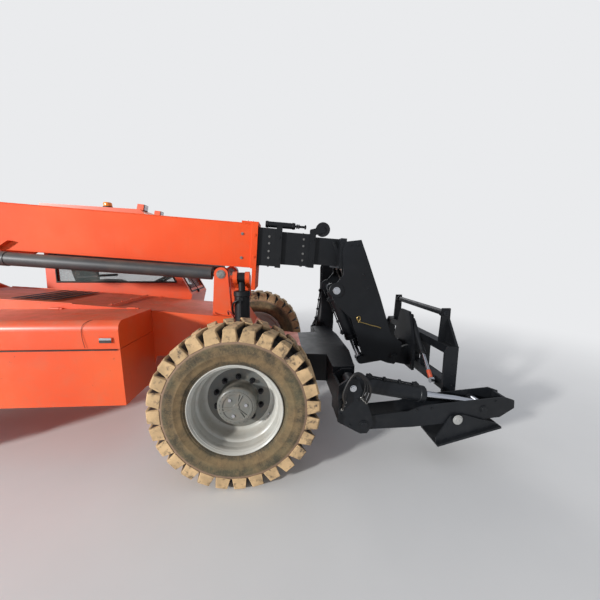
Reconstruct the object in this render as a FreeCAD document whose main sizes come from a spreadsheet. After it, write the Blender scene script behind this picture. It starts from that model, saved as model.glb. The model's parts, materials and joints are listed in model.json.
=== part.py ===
import FreeCAD, Part
import math
import os
import Sketcher

# A fixed-frame telehandler with a four-section boom, at its real size in millimetres.
# +X is forward, +Y is left, +Z is up. The origin is on the ground under the middle of its box.

Vector = FreeCAD.Vector
PARTS_FOLDER = "parts"

# Driving dimensions in millimetres, degrees or counts. Columns: name, value, what it is.
SIZES = [
    ("front_axle_x", 1098.9, "front axle ahead of the origin"),
    ("wheelbase", 3560, "front axle to rear axle"),
    ("wheel_y", 1050, "middle of a wheel from the machine's centre plane"),
    ("kingpin_y", 800, "kingpin from the centre plane"),
    ("running_gap", 5, "clearance between parts that move past each other"),
    ("seat_gap", 0.3, "clearance of pins, shafts and seats"),

    ("tyre_radius", 640, "wheel centre to the lug tips"),
    ("lug_height", 66, "lug tip above the shoulder of the carcass"),
    ("tyre_width", 385, "overall width of a tyre"),
    ("lug_count", 28, "lugs on each shoulder of a tyre"),
    ("lug_foot", 96, "length of a lug round the tyre at the shoulder"),
    ("lug_tip", 62, "length of a lug round the tyre near the crown"),
    ("lug_sweep", 46, "how far a lug's inner end lies ahead of its outer end"),
    ("lug_overlap", 16, "how far a lug crosses the crown's middle line"),
    ("sidewall_radius", 475, "radius where the sidewall is widest"),
    ("shoulder_radius", 528, "radius down to which the lugs' outer ends reach"),
    ("shoulder_inset", 22, "shoulder in from the tyre's widest face"),
    ("rim_radius", 356, "outer radius of a rim's flange"),
    ("rim_width", 346, "rim over its flanges"),
    ("flange_thick", 12, "thickness of a rim's flange"),
    ("barrel_radius", 334, "outer radius of the rim's barrel"),
    ("barrel_wall", 10, "wall of the rim's barrel"),
    ("well_drop", 18, "drop of the rim's well below the barrel's ends"),
    ("disc_offset", 38, "wheel disc inboard of the wheel's middle plane"),
    ("disc_thick", 18, "thickness of the wheel disc"),
    ("hub_radius", 150, "radius of the planetary hub outside the disc"),
    ("hub_cap_radius", 122, "radius of the hub's flat cap"),
    ("hub_reach", 152, "hub face outboard of the wheel disc"),
    ("hub_drum_radius", 172, "radius of the hub drum inside the disc"),
    ("stud_circle", 390, "diameter of the circle of wheel studs"),
    ("stud_radius", 13, "radius of a wheel nut"),
    ("stud_height", 30, "height of a wheel nut and stud"),
    ("stud_count", 10, "wheel studs"),

    ("spindle_radius", 62, "radius of the spindle in the hub"),
    ("spindle_length", 60, "spindle inside the hub"),
    ("knuckle_face_y", 902, "outboard face of the knuckle from the centre plane"),
    ("knuckle_radius", 116, "radius of the knuckle's housing"),
    ("knuckle_half_height", 118, "half the height of the knuckle between the yoke's arms"),
    ("kingpin_radius", 34, "radius of a kingpin"),
    ("yoke_arm", 46, "thickness of a yoke's arm"),
    ("yoke_radius", 72, "radius of a yoke's arm round the kingpin"),
    ("yoke_root_y", 640, "where the yoke leaves the axle's tube"),
    ("steer_arm_reach", 205, "steering arm behind the kingpin"),
    ("axle_half_depth", 88, "half the axle tube's depth fore and aft"),
    ("axle_half_height", 96, "half the axle tube's height"),
    ("diff_radius", 205, "radius of the differential's housing"),
    ("diff_half_width", 150, "half the width of the differential's housing"),
    ("pinion_length", 300, "differential's nose from the axle's middle"),
    ("pinion_radius", 80, "radius of the differential's nose"),
    ("steer_barrel_radius", 42, "radius of the steering cylinder"),
    ("steer_barrel_half", 210, "half the length of the steering cylinder"),

    ("frame_half", 420, "outside of a frame plate from the centre plane"),
    ("frame_plate", 25, "thickness of a frame plate"),
    ("skin", 12, "thickness of decks, belly and bulkheads"),
    ("arch_half", 245, "half the length of the frame's notch over an axle"),
    ("arch_high", 800, "underside of the frame over an axle"),
    ("arch_slope", 80, "run of the notch's sloping ends"),
    ("arch_rear", 880, "rear end of the front notch behind the front axle"),
    ("frame_low", 490, "underside of the frame"),
    ("nose_low", 560, "underside of the frame's nose"),
    ("frame_nose", 560, "front of the frame ahead of the front axle"),
    ("frame_tail", 800, "rear of the frame behind the rear axle"),

    ("pivot_pin_radius", 45, "radius of the boom's pivot pin"),
    ("pivot_boss_radius", 95, "radius of the bosses round the pivot pin"),
    ("tower_boss_inner_y", 300, "inner face of a tower's boss from the centre plane"),
    ("tower_radius", 150, "round top of a tower about the pivot"),

    ("boom_droop", 3.8, "slope of the parked boom down to the front"),
    ("outer_width", 420, "width of the outer boom section"),
    ("outer_height", 440, "height of the outer boom section"),
    ("outer_wall", 12, "wall of the boom sections"),
    ("section_step", 50, "how much narrower and lower each next section is"),
    ("outer_tail", 150, "outer section behind the pivot"),
    ("outer_length", 4255, "pivot to the outer section's front end"),
    ("second_length", 4505, "pivot to the second section's front end"),
    ("third_length", 4860, "pivot to the third section's front end"),
    ("inner_length", 5110, "pivot to the front end of the inner section's tube"),
    ("section_start", 330, "pivot to the rear end of the second section"),
    ("start_step", 130, "how much further forward each next section starts"),
    ("collar_height", 12, "band round a section's front end, above its wall"),
    ("collar_length", 60, "length of that band"),
    ("pad_length", 120, "length of a wear pad"),
    ("pad_width", 70, "width of a wear pad"),
    ("flange_drop", 235, "mouth plate below the outer section"),
    ("flange_thick_x", 40, "thickness of the outer section's mouth plate"),
    ("mouth_plate_length", 175, "length of the raised plate on top of the outer section's mouth"),
    ("mouth_plate_half", 150, "half the width of that plate"),
    ("mouth_plate_high", 32, "height of that plate above the section"),
    ("collar_bolt_radius", 12, "radius of the bolt heads on a collar"),
    ("collar_bolt_level", 110, "upper and lower bolt heads from the section's middle"),
    ("sheave_radius", 76, "radius of the hose sheave on the third section"),
    ("sheave_half", 18, "half the width of the hose sheave"),
    ("sheave_y", 110, "hose sheave from the centre plane, on the right"),
    ("sheave_ahead", 75, "hose sheave ahead of the third section's front end"),
    ("sheave_above", 62, "hose sheave above the third section's top"),
    ("tensioner_radius", 32, "radius of the hose tensioner on the second section"),
    ("tensioner_y", 60, "hose tensioner from the centre plane, on the right"),
    ("tensioner_rear", 4320, "pivot to the rear end of the hose tensioner"),
    ("tensioner_front", 4640, "pivot to the front end of its barrel"),
    ("tensioner_rod_front", 4760, "pivot to the front end of its rod"),

    ("lift_y", 300, "lift cylinders from the centre plane"),
    ("lift_barrel_radius", 64, "radius of a lift cylinder's barrel"),
    ("lift_rod_radius", 36, "radius of a lift cylinder's rod"),
    ("lift_barrel_length", 2060, "lift cylinder's base pin to its gland"),
    ("lift_eye_width", 60, "width of a lift cylinder's eyes"),
    ("lift_eye_radius", 68, "radius of a lift cylinder's eyes"),
    ("lift_lug_plate", 22, "thickness of the plates that hold a lift cylinder"),
    ("lift_lug_gap", 5, "gap between an eye and the plate beside it"),
    ("lift_pin_radius", 30, "radius of a lift cylinder's pins"),
    ("lift_lug_foot", 95, "half the length of those plates at the deck"),

    ("sway_y", 500, "frame-levelling cylinder from the centre plane, on the right"),
    ("sway_barrel_radius", 72, "radius of its barrel"),
    ("sway_rod_radius", 32, "radius of its rod"),
    ("sway_pin_radius", 26, "radius of its pins"),
    ("sway_cheek", 40, "thickness of the cheeks that hold it"),
    ("sway_cheek_radius", 58, "round top of those cheeks"),
    ("sway_eye_width", 70, "width of its eyes"),
    ("sway_gland", 900, "height of its gland above the ground"),

    ("beam_front", 1060, "front of the crossmember ahead of the front axle"),
    ("beam_rear", 800, "rear of the crossmember's wide part"),
    ("beam_top", 800, "top of the crossmember"),
    ("beam_low", 520, "underside of the crossmember"),
    ("beam_half", 790, "half the width of the crossmember's box"),
    ("outrigger_y", 930, "outrigger legs from the centre plane"),
    ("leg_half", 100, "half the width of a leg"),
    ("leg_plate", 12, "thickness of a leg's plates"),
    ("leg_cheek", 25, "thickness of the cheeks that hold a leg"),
    ("leg_pin_radius", 32, "radius of a leg's pivot pin"),
    ("leg_boss_radius", 66, "radius of a leg's end at its pivot"),
    ("leg_length", 1335, "pivot to the leg's nose"),
    ("leg_half_depth", 90, "half the depth of a leg's side plate"),
    ("leg_root_half", 55, "half the depth of a leg beside its pivot"),
    ("leg_rise", 4.7, "slope of the lowered right leg"),
    ("leg_fold", 85.3, "how far the left leg is folded up from there"),
    ("leg_cylinder_radius", 66, "radius of an outrigger cylinder's barrel"),
    ("leg_cylinder_length", 670, "outrigger cylinder's base pin to its gland"),
    ("leg_rod_length", 650, "outrigger cylinder's rod, from its pin to its piston end"),
    ("leg_rod_radius", 36, "radius of an outrigger cylinder's rod"),
    ("leg_eye_radius", 58, "radius of an outrigger cylinder's eyes"),
    ("leg_eye_half", 60, "half the width of an outrigger cylinder's eyes"),
    ("rod_pin_reach", 1060, "leg's pivot to the rod's pin"),
    ("foot_pin_reach", 807, "leg's pivot to the foot's pin, along the leg"),
    ("foot_pin_drop", 50, "foot's pin below the leg's middle line"),
    ("foot_pin_radius", 24, "radius of the foot's pin"),
    ("foot_heel", 184, "heel of the foot behind its pin"),
    ("foot_toe", 382, "toe of the foot ahead of its pin"),
    ("foot_heel_drop", 220, "sole below the pin at the heel"),
    ("foot_toe_drop", 116, "sole below the pin at the toe"),
    ("foot_sole", 18, "thickness of the foot's sole"),
    ("foot_half", 145, "half the width of the foot's sole"),

    ("neck_half", 300, "outside of a gooseneck plate from the centre plane"),
    ("neck_plate", 25, "thickness of a gooseneck plate"),
    ("neck_boss_radius", 74, "radius of the bosses round the tilt cylinder's base pin"),
    ("neck_boss_high", 14, "height of those bosses on the gooseneck's plates"),
    ("neck_flange", 60, "depth of the flange that joins the gooseneck to the boom's tube"),
    ("arm_half", 180, "outside of a lower arm from the centre plane"),
    ("arm_plate", 30, "thickness of a lower arm"),
    ("tilt_barrel_radius", 66, "radius of the tilt cylinder's barrel"),
    ("tilt_rod_radius", 32, "radius of the tilt cylinder's rod"),
    ("tilt_barrel_length", 640, "tilt cylinder's base pin to its gland"),
    ("tilt_eye_half", 35, "half the width of the tilt cylinder's eyes"),
    ("tilt_eye_radius", 52, "radius of the tilt cylinder's eyes"),
    ("tilt_pin_radius", 25, "radius of the tilt cylinder's pins"),
    ("lever_plate", 25, "thickness of the lever's plates"),
    ("quick_pin_radius", 35, "radius of the quick attach's pivot pin"),
    ("quick_tube_radius", 72, "radius of the quick attach's pivot tube"),
    ("quick_half", 260, "half the width of the quick attach's face plate"),
    ("quick_plate", 28, "thickness of the quick attach's face plate"),

    ("carriage_half", 740, "half the width of the carriage's lower frame"),
    ("carriage_top_half", 570, "half the width of the carriage's top bar"),
    ("carriage_plate", 25, "thickness of the carriage's plates"),
    ("carriage_depth", 100, "depth of the carriage's bars"),
    ("carriage_gap", 76, "gap between face plate and carriage, where the side-tilt cylinder lies"),
    ("carriage_pin_radius", 45, "radius of the pin that the carriage leans about"),
    ("carriage_boss_radius", 95, "radius of the carriage's boss on that pin"),
    ("fork_shaft_radius", 30, "radius of the shaft that forks hang on"),
    ("lean_barrel_radius", 32, "radius of the side-tilt cylinder's barrel"),
    ("lean_rod_radius", 16, "radius of its rod"),
    ("lean_barrel_length", 470, "its base pin to its gland"),
    ("lean_eye_half", 18, "half the width of its eyes"),
    ("lean_eye_radius", 30, "radius of its eyes"),
    ("lean_pin_radius", 14, "radius of its pins"),
    ("lean_base_y", -40, "its base pin's place across the machine"),
    ("lean_end_y", -560, "its rod pin's place across the machine"),

    ("cab_inner_y", 500, "cab's inner side from the centre plane"),
    ("cab_outer_y", 1200, "cab's outer side from the centre plane"),
    ("cab_wall", 45, "thickness of the cab's walls"),
    ("door_thick", 36, "thickness of the door"),
    ("door_frame", 62, "cab's edge to the door's opening"),
    ("door_bar", 75, "door's edge to its window"),
    ("glass_thick", 6, "thickness of the panes"),
    ("hinge_radius", 11, "radius of door and hood hinges"),
    ("window_sill", 165, "foot of the window towards the boom above the windscreen's foot"),
    ("beacon_radius", 46, "radius of the roof beacon"),
    ("beacon_y", 700, "roof beacon from the centre plane"),
    ("mirror_half", 60, "half the width of the mirror"),
    ("mirror_high", 180, "height of the mirror"),
    ("lamp_half", 55, "half the width of a work lamp"),
    ("seat_width", 460, "width of the seat"),
    ("wheel_rim_radius", 190, "radius of the steering wheel"),

    ("cowl_outer_y", 1000, "outside of the engine cowl from the centre plane"),
    ("cowl_tuck", 30, "how far the cowl's side leans in at its foot"),
    ("cowl_front", 900, "front of the cowl behind the front axle"),
    ("cowl_length", 1815, "length of the cowl"),
    ("cowl_low", 580, "underside of the cowl"),
    ("cowl_split", 1050, "seam between the cowl and its hood"),
    ("cowl_high", 1272, "top of the hood"),
    ("cowl_wall", 22, "thickness of the cowl's walls"),
    ("cowl_round", 70, "rounding of the hood's shoulder"),
    ("louvre_count", 9, "air slots in the side of the cowl, and in the hood above them"),
    ("louvre_step", 68, "from one air slot to the next"),
    ("louvre_width", 26, "width of an air slot"),
    ("louvre_rear", 110, "first air slot ahead of the cowl's rear end"),
    ("latch_length", 96, "length of the hood's latch"),
    ("latch_inset", 48, "hood's latch behind the cowl's front"),
    ("engine_length", 1050, "length of the engine block"),
    ("engine_width", 400, "width of the engine block"),
    ("engine_height", 540, "height of the engine block"),

    ("tank_outer_y", 1030, "outside of the tank from the centre plane"),
    ("tank_low", 500, "underside of the tank"),
    ("tank_round", 60, "rounding of the tank's edges"),
    ("weight_half", 900, "half the width of the counterweight"),
    ("weight_depth", 190, "depth of the counterweight"),
    ("weight_low", 610, "underside of the counterweight"),
    ("weight_high", 1230, "top of the counterweight"),
    ("hitch_radius", 21, "radius of the hitch's bore"),
    ("hitch_reach", 130, "hitch's bore to the counterweight's front face"),
    ("tie_down_radius", 25, "radius of the tie-down eyes' bores"),
    ("tie_down_y", 700, "inner face of a tie-down eye from the centre plane"),
    ("tie_down_plate", 35, "thickness of a tie-down eye"),
    ("tie_down_drop", 55, "tie-down bore below the counterweight"),
]

# Places in side view, in millimetres. Columns: name, datum, ahead of the datum, above it, what it is.
# The axles' datums lie on the ground below them; any other datum is a place named above it.
PLACES = [
    ("deck_front", "front_axle", -70, 1175, "front end of the deck"),
    ("deck_middle", "front_axle", -1610, 1318, "deck beside the engine"),
    ("chin_high", "front_axle", 30, 1010, "upper bend of the frame's front slope"),
    ("chin_low", "front_axle", 300, 830, "lower bend of the frame's front slope"),
    ("deck_rear", "rear_axle", 660, 1400, "rear end of the deck"),
    ("tower_foot", "rear_axle", 300, 1560, "front foot of a boom tower"),
    ("boom_pivot", "rear_axle", -590, 2165, "middle of the boom's pivot pin"),
    ("tail_high", "rear_axle", -800, 1150, "upper rear corner of the frame"),
    ("lift_base", "front_axle", -250, 1600, "base pin of the lift cylinders"),
    ("lift_eye", "boom_pivot", 1550, -405, "pin of the lift rods on the boom"),
    ("sway_top", "front_axle", -30, 1575, "upper pin of the levelling cylinder"),

    ("leg_pivot", "front_axle", 1020, 400, "pivot of the outrigger legs"),
    ("leg_cylinder_base", "leg_pivot", -100, 320, "base pin of the outrigger cylinders"),

    ("neck_crown_rear", "head", 45, 108, "rear of the gooseneck's top"),
    ("neck_crown_front", "head", 213, 128, "front of the gooseneck's top"),
    ("neck_brow", "head", 285, -55, "bend of the gooseneck's front edge"),
    ("neck_shin", "head", 440, -465, "middle of the gooseneck's front edge"),
    ("neck_toe", "head", 567, -845, "lower front corner of the gooseneck's plates"),
    ("neck_sole", "head", 155, -715, "lower rear corner of the gooseneck's plates"),
    ("neck_heel", "head", -45, -525, "below the tilt cylinder's base pin"),
    ("neck_horn", "head", -100, -405, "behind the tilt cylinder's base pin"),
    ("neck_nape", "head", 40, -230, "rear edge below the boom's tube"),
    ("neck_back", "head", 20, -15, "rear edge beside the boom's tube"),
    ("tilt_base", "head", -33, -393, "base pin of the tilt cylinder"),
    ("quick_pivot", "head", 660, -1165, "pivot of the quick attach"),
    ("arm_knee", "head", 760, -1000, "front bend of a lower arm"),
    ("arm_calf", "head", 300, -1120, "rear bend of a lower arm"),
    ("lever_pin", "quick_pivot", -330, -75, "pin of the tilt rod on the lever"),
    ("quick_face", "quick_pivot", 190, 0, "rear of the quick attach's face plate"),
    ("lean_pivot", "quick_pivot", 190, 60, "axis that the carriage leans about"),
    ("lean_base", "quick_pivot", 190, 440, "base pin of the side-tilt cylinder"),
    ("lean_end", "quick_pivot", 190, -112, "rod pin of the side-tilt cylinder"),
    ("carriage_low", "quick_pivot", 0, -160, "underside of the carriage"),
    ("carriage_waist", "quick_pivot", 0, 290, "top of the carriage's lower frame"),
    ("carriage_high", "quick_pivot", 0, 575, "middle of the carriage's fork shaft"),

    ("cab_toe", "front_axle", -900, 880, "cab's lower front corner"),
    ("cab_sill", "front_axle", -800, 1290, "foot of the windscreen"),
    ("cab_brow", "front_axle", -1330, 2300, "top of the windscreen"),
    ("cab_roof_front", "front_axle", -1375, 2345, "front edge of the roof"),
    ("cab_roof_rear", "front_axle", -2530, 2395, "rear edge of the roof"),
    ("beacon", "front_axle", -1860, 2450, "top of the roof beacon"),
    ("cab_heel", "front_axle", -2560, 880, "cab's lower rear corner"),
]

document = FreeCAD.newDocument("telehandler")
sheet = document.addObject("Spreadsheet::Sheet", "Sizes")
nodes = {}


class Size:
    """A number together with the sheet formula that gives it, so that a feature can be bound to it."""

    def __init__(self, number, formula):
        self.number = number
        self.formula = formula

    def __add__(self, other):
        other = as_size(other)
        return Size(self.number + other.number, f"({self.formula} + {other.formula})")

    def __sub__(self, other):
        other = as_size(other)
        return Size(self.number - other.number, f"({self.formula} - {other.formula})")

    def __rsub__(self, other):
        return as_size(other) - self

    def __mul__(self, other):
        other = as_size(other)
        return Size(self.number * other.number, f"({self.formula} * {other.formula})")

    def __truediv__(self, other):
        other = as_size(other)
        return Size(self.number / other.number, f"({self.formula} / {other.formula})")

    def __neg__(self):
        return Size(-self.number, f"(-1 * {self.formula})")

    __radd__ = __add__
    __rmul__ = __mul__


def as_size(value):
    return value if isinstance(value, Size) else Size(value, str(value))


def sine(angle):
    return Size(math.sin(math.radians(angle.number)), f"sin({angle.formula})")


def cosine(angle):
    return Size(math.cos(math.radians(angle.number)), f"cos({angle.formula})")


def distance(across, up):
    number = math.hypot(across.number, up.number)
    return Size(number, f"sqrt({across.formula} ^ 2 + {up.formula} ^ 2)")


def heading(across, up):
    """The angle in degrees of a direction in a plane, turned from its first axis to its second."""
    number = math.degrees(math.atan2(up.number, across.number))
    return Size(number, f"(atan2({up.formula}; {across.formula}) / 1 deg)")


class Sheet:
    """The sheet's cells by name."""


s = Sheet()
at = {}


def fill_sheet():
    row = 1
    for name, value, meaning in SIZES:
        add_cell(row, name, value, meaning)
        row += 1
    at["front_axle"] = (s.front_axle_x, as_size(0))
    at["rear_axle"] = (s.front_axle_x - s.wheelbase, as_size(0))
    for name, datum, ahead, above, meaning in PLACES:
        add_cell(row, name + "_ahead", ahead, meaning + ", forward")
        add_cell(row + 1, name + "_above", above, meaning + ", upward")
        row += 2
        if datum == "head" and "head" not in at:
            at["head"] = on_boom(s.inner_length, as_size(0))
        datum_x, datum_z = at[datum]
        at[name] = (datum_x + getattr(s, name + "_ahead"), datum_z + getattr(s, name + "_above"))
    document.recompute()


def add_cell(row, name, value, meaning):
    sheet.set(f"A{row}", meaning)
    sheet.set(f"B{row}", str(value))
    sheet.setAlias(f"B{row}", name)
    setattr(s, name, Size(value, f"Sizes.{name}"))


def on_boom(along, above):
    """A point given along and above the boom's middle line, in the machine's side view."""
    pivot_x, pivot_z = at["boom_pivot"]
    slope_x = cosine(s.boom_droop)
    slope_z = sine(s.boom_droop)
    return (pivot_x + along * slope_x + above * slope_z, pivot_z - along * slope_z + above * slope_x)


def bind(target, path, value):
    target.setExpression(path, as_size(value).formula)


def new_body(label, x=0, y=0, z=0, tilt=None, axis=Vector(0, 1, 0)):
    """A body placed at x, y, z and turned by the angle tilt, in degrees, about the axis."""
    body = document.addObject("PartDesign::Body", label)
    body.Label = label
    if tilt is not None:
        body.Placement = FreeCAD.Placement(Vector(0, 0, 0), FreeCAD.Rotation(axis, 1))
        bind(body, "Placement.Rotation.Angle", tilt)
    bind(body, "Placement.Base.x", x)
    bind(body, "Placement.Base.y", y)
    bind(body, "Placement.Base.z", z)
    return body


def new_sketch(body, plane, level):
    """A sketch on a plane of the body's origin, moved to a level along X, Y or Z."""
    sketch = body.newObject("Sketcher::SketchObject", body.Name + "_sketch")
    role = plane + "_Plane"
    sketch.AttachmentSupport = (next(f for f in body.Origin.OriginFeatures if f.Role == role), [""])
    sketch.MapMode = "FlatFace"
    offset = -as_size(level) if plane == "XZ" else as_size(level)
    bind(sketch, "AttachmentOffset.Base.z", offset)
    return sketch


def pin_point(sketch, element, corner, point):
    """Ties a point of the sketch to its two measures from the sketch's origin."""
    for kind, measure in zip(("DistanceX", "DistanceY"), point):
        measure = as_size(measure)
        index = sketch.addConstraint(Sketcher.Constraint(kind, -1, 1, element, corner, measure.number))
        bind(sketch, f"Constraints[{index}]", measure)


def draw_outline(sketch, points):
    first = sketch.GeometryCount
    count = len(points)
    corners = [Vector(as_size(u).number, as_size(v).number, 0) for u, v in points]
    for index in range(count):
        sketch.addGeometry(Part.LineSegment(corners[index], corners[(index + 1) % count]))
    for index in range(count):
        following = first + (index + 1) % count
        sketch.addConstraint(Sketcher.Constraint("Coincident", first + index, 2, following, 1))
    for index in range(count):
        pin_point(sketch, first + index, 1, points[index])


def draw_circle(sketch, centre, radius):
    radius = as_size(radius)
    middle = Vector(as_size(centre[0]).number, as_size(centre[1]).number, 0)
    element = sketch.addGeometry(Part.Circle(middle, Vector(0, 0, 1), radius.number))
    pin_point(sketch, element, 3, centre)
    index = sketch.addConstraint(Sketcher.Constraint("Radius", element, radius.number))
    bind(sketch, f"Constraints[{index}]", radius)


def draw(sketch, shapes):
    """Each shape is an outline, a list of points, or a circle, a centre point and a radius."""
    for shape in shapes:
        if isinstance(shape, list):
            draw_outline(sketch, shape)
        else:
            draw_circle(sketch, shape[0], shape[1])


def pad(body, plane, low, high, *shapes):
    """Adds the shapes between two levels along the plane's axis."""
    sketch = new_sketch(body, plane, high if plane == "XZ" else low)
    draw(sketch, shapes)
    feature = body.newObject("PartDesign::Pad", body.Name + "_pad")
    feature.Profile = sketch
    feature.Refine = False
    feature.Length = 1
    bind(feature, "Length", as_size(high) - low)
    return feature


def cut(body, plane, low, high, *shapes):
    """Removes the shapes between two levels along the plane's axis."""
    document.recompute()
    before = body.Shape.Volume
    sketch = new_sketch(body, plane, high if plane == "XZ" else low)
    draw(sketch, shapes)
    feature = body.newObject("PartDesign::Pocket", body.Name + "_pocket")
    feature.Profile = sketch
    feature.Refine = False
    feature.Reversed = True
    feature.Length = 1
    bind(feature, "Length", as_size(high) - low)
    document.recompute()
    if not body.Shape.Volume < before:
        raise RuntimeError(f"a cut in {body.Label} removes nothing")
    return feature


def revolve(body, outline):
    """Turns an outline of (radius, across) points about the body's Y axis."""
    sketch = new_sketch(body, "XY", 0)
    draw(sketch, [outline])
    feature = body.newObject("PartDesign::Revolution", body.Name + "_revolution")
    feature.Profile = sketch
    feature.ReferenceAxis = (sketch, ["V_Axis"])
    feature.Angle = 360
    return feature


def polar(body, features, count):
    """Repeats features round the body's Y axis."""
    pattern = body.newObject("PartDesign::PolarPattern", body.Name + "_pattern")
    pattern.Originals = features
    pattern.Axis = (next(f for f in body.Origin.OriginFeatures if f.Role == "Y_Axis"), [""])
    pattern.Angle = 360
    bind(pattern, "Occurrences", count)
    body.Tip = pattern
    return pattern


def round_edges(body, radius, chosen):
    """Fillets the straight edges for which chosen(start, end) is true."""
    document.recompute()
    base = body.Tip
    solid = base.Shape
    names = []
    for index, edge in enumerate(solid.Edges):
        ends = [vertex.Point for vertex in edge.Vertexes]
        if len(ends) == 2 and chosen(ends[0], ends[1]):
            names.append(f"Edge{index + 1}")
    if not names:
        raise RuntimeError(f"no edge to round in {body.Label}")
    fillet = body.newObject("PartDesign::Fillet", body.Name + "_fillet")
    fillet.Base = (base, names)
    bind(fillet, "Radius", radius)
    body.Tip = fillet
    document.recompute()
    return fillet


def mirrored(label, source):
    """The same piece on the other side of the machine."""
    mirror = document.addObject("Part::Mirroring", label)
    mirror.Label = label
    mirror.Source = source
    mirror.Normal = Vector(0, 1, 0)
    mirror.Base = Vector(0, 0, 0)
    return mirror


def both_sides(label, source):
    """One node with a piece on each side of the machine."""
    source.Label = label + "_right"
    pair = document.addObject("Part::Compound", label)
    pair.Label = label
    pair.Links = [source, mirrored(label + "_left", source)]
    return pair


def keep(node):
    nodes[node.Label] = node
    return node


def box_outline(u_low, u_high, v_low, v_high):
    return [(u_low, v_low), (u_high, v_low), (u_high, v_high), (u_low, v_high)]


def shifted(place, ahead=0, above=0):
    x, z = at[place]
    return (x + ahead, z + above)


def clear(base):
    """The radius of a bore round a pin of radius base."""
    return base + s.seat_gap


def build_tyre(label, axle):
    """A lugged tyre: a faceted carcass with a ring of lugs on each shoulder."""
    x, _ = at[axle]
    half = s.tyre_width / 2
    crown = s.tyre_radius - s.lug_height
    bead = s.rim_width / 2 - s.flange_thick - s.seat_gap
    profile = [
        (s.barrel_radius + s.seat_gap, -bead),
        (s.rim_radius + s.flange_thick, -bead),
        (s.sidewall_radius, -half),
        (crown, s.shoulder_inset - half),
    ]
    profile += [(radius, -across) for radius, across in reversed(profile)]
    carcass = document.addObject("Part::Feature", label + "_carcass")
    carcass.Shape = faceted_ring(profile, round(s.lug_count.number))
    pieces = [carcass]
    for side, name in ((-1, "_lugs_outer"), (1, "_lugs_inner")):
        lugs = new_body(label + name)
        polar(lugs, [build_lug(lugs, side)], s.lug_count)
        pieces.append(lugs)
    tyre = weld(label, pieces)
    bind(tyre, "Placement.Base.x", x)
    bind(tyre, "Placement.Base.y", -s.wheel_y)
    bind(tyre, "Placement.Base.z", s.tyre_radius)
    return keep(tyre)


def faceted_ring(profile, count):
    """A ring about the Y axis with flat faces: a closed profile of (radius, across) at count angles."""
    widen = 1 / math.cos(math.pi / count)
    rings = []
    for radius, across in profile:
        corners = []
        for index in range(count):
            angle = 2 * math.pi * (index + 0.5) / count
            reach = radius.number * widen
            corners.append(Vector(reach * math.sin(angle), across.number, reach * math.cos(angle)))
        rings.append(corners)
    faces = []
    for ring, following in zip(rings, rings[1:] + rings[:1]):
        for index in range(count):
            after = (index + 1) % count
            loop = [ring[index], ring[after], following[after], following[index], ring[index]]
            faces.append(Part.Face(Part.makePolygon(loop)))
    shell = Part.makeShell(faces)
    solid = Part.makeSolid(shell)
    if solid.Volume < 0:
        solid.reverse()
    return solid


def build_lug(body, side):
    """One lug, seen from above the tyre: a slanted block from the shoulder's edge to past the crown."""
    half = s.tyre_width / 2
    outer = half * side
    inner = s.lug_overlap * (-side)
    foot = s.lug_foot / 2
    tip = s.lug_tip / 2
    shift = s.lug_sweep * 0.5
    outline = [
        (-shift - foot, outer),
        (-shift + foot, outer),
        (shift + tip, inner),
        (shift - tip, inner),
    ]
    corner = s.lug_sweep / 2 + s.lug_foot / 2
    top = distance_left(s.tyre_radius, corner)
    if side > 0:
        body.Placement = FreeCAD.Placement(Vector(0, 0, 0), FreeCAD.Rotation(Vector(0, 1, 0), 1))
        bind(body, "Placement.Rotation.Angle", as_size(180) / s.lug_count)
    return pad(body, "XY", s.shoulder_radius, top, outline)


def distance_left(reach, across):
    """The height at which a point that lies across from the middle is at the given reach."""
    number = math.sqrt(reach.number ** 2 - across.number ** 2)
    return Size(number, f"sqrt({reach.formula} ^ 2 - {across.formula} ^ 2)")


def build_rim(label, axle):
    """A one-piece rim with its disc, planetary hub and studs, turned about the wheel's axis."""
    x, _ = at[axle]
    rim = new_body(label, x, -s.wheel_y, s.tyre_radius)
    half = s.rim_width / 2
    wall = s.barrel_radius - s.barrel_wall
    well = s.barrel_radius - s.well_drop
    disc_in = s.disc_offset + s.disc_thick
    disc_out = s.disc_offset
    drum_in = s.wheel_y - s.knuckle_face_y - s.running_gap
    hub_face = s.disc_offset - s.hub_reach
    revolve(rim, [
        (clear(s.spindle_radius), drum_in),
        (s.hub_drum_radius, drum_in),
        (s.hub_drum_radius, disc_in),
        (well - s.barrel_wall, disc_in),
        (wall, half - 60),
        (wall, half - s.flange_thick),
        (s.rim_radius - 4, half),
        (s.rim_radius, half - s.flange_thick * 0.4),
        (s.rim_radius, half - s.flange_thick),
        (s.barrel_radius, half - s.flange_thick),
        (s.barrel_radius, half - 66),
        (well, half - 96),
        (well, -half + 96),
        (s.barrel_radius, -half + 66),
        (s.barrel_radius, -half + s.flange_thick),
        (s.rim_radius, -half + s.flange_thick),
        (s.rim_radius, -half + s.flange_thick * 0.4),
        (s.rim_radius - 4, -half),
        (wall, -half + s.flange_thick),
        (wall, -half + 60),
        (well - s.barrel_wall, -half + 100),
        (well - s.barrel_wall, disc_out),
        (s.hub_radius, disc_out),
        (s.hub_radius - 6, hub_face + 62),
        (s.hub_cap_radius, hub_face + 40),
        (s.hub_cap_radius - 8, hub_face),
        (0, hub_face),
        (0, drum_in - s.spindle_length - s.seat_gap),
        (clear(s.spindle_radius), drum_in - s.spindle_length - s.seat_gap),
    ])
    stud = pad(rim, "XZ", disc_out - s.stud_height, disc_out, ((s.stud_circle / 2, 0), s.stud_radius))
    polar(rim, [stud], s.stud_count)
    return keep(rim)


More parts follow.
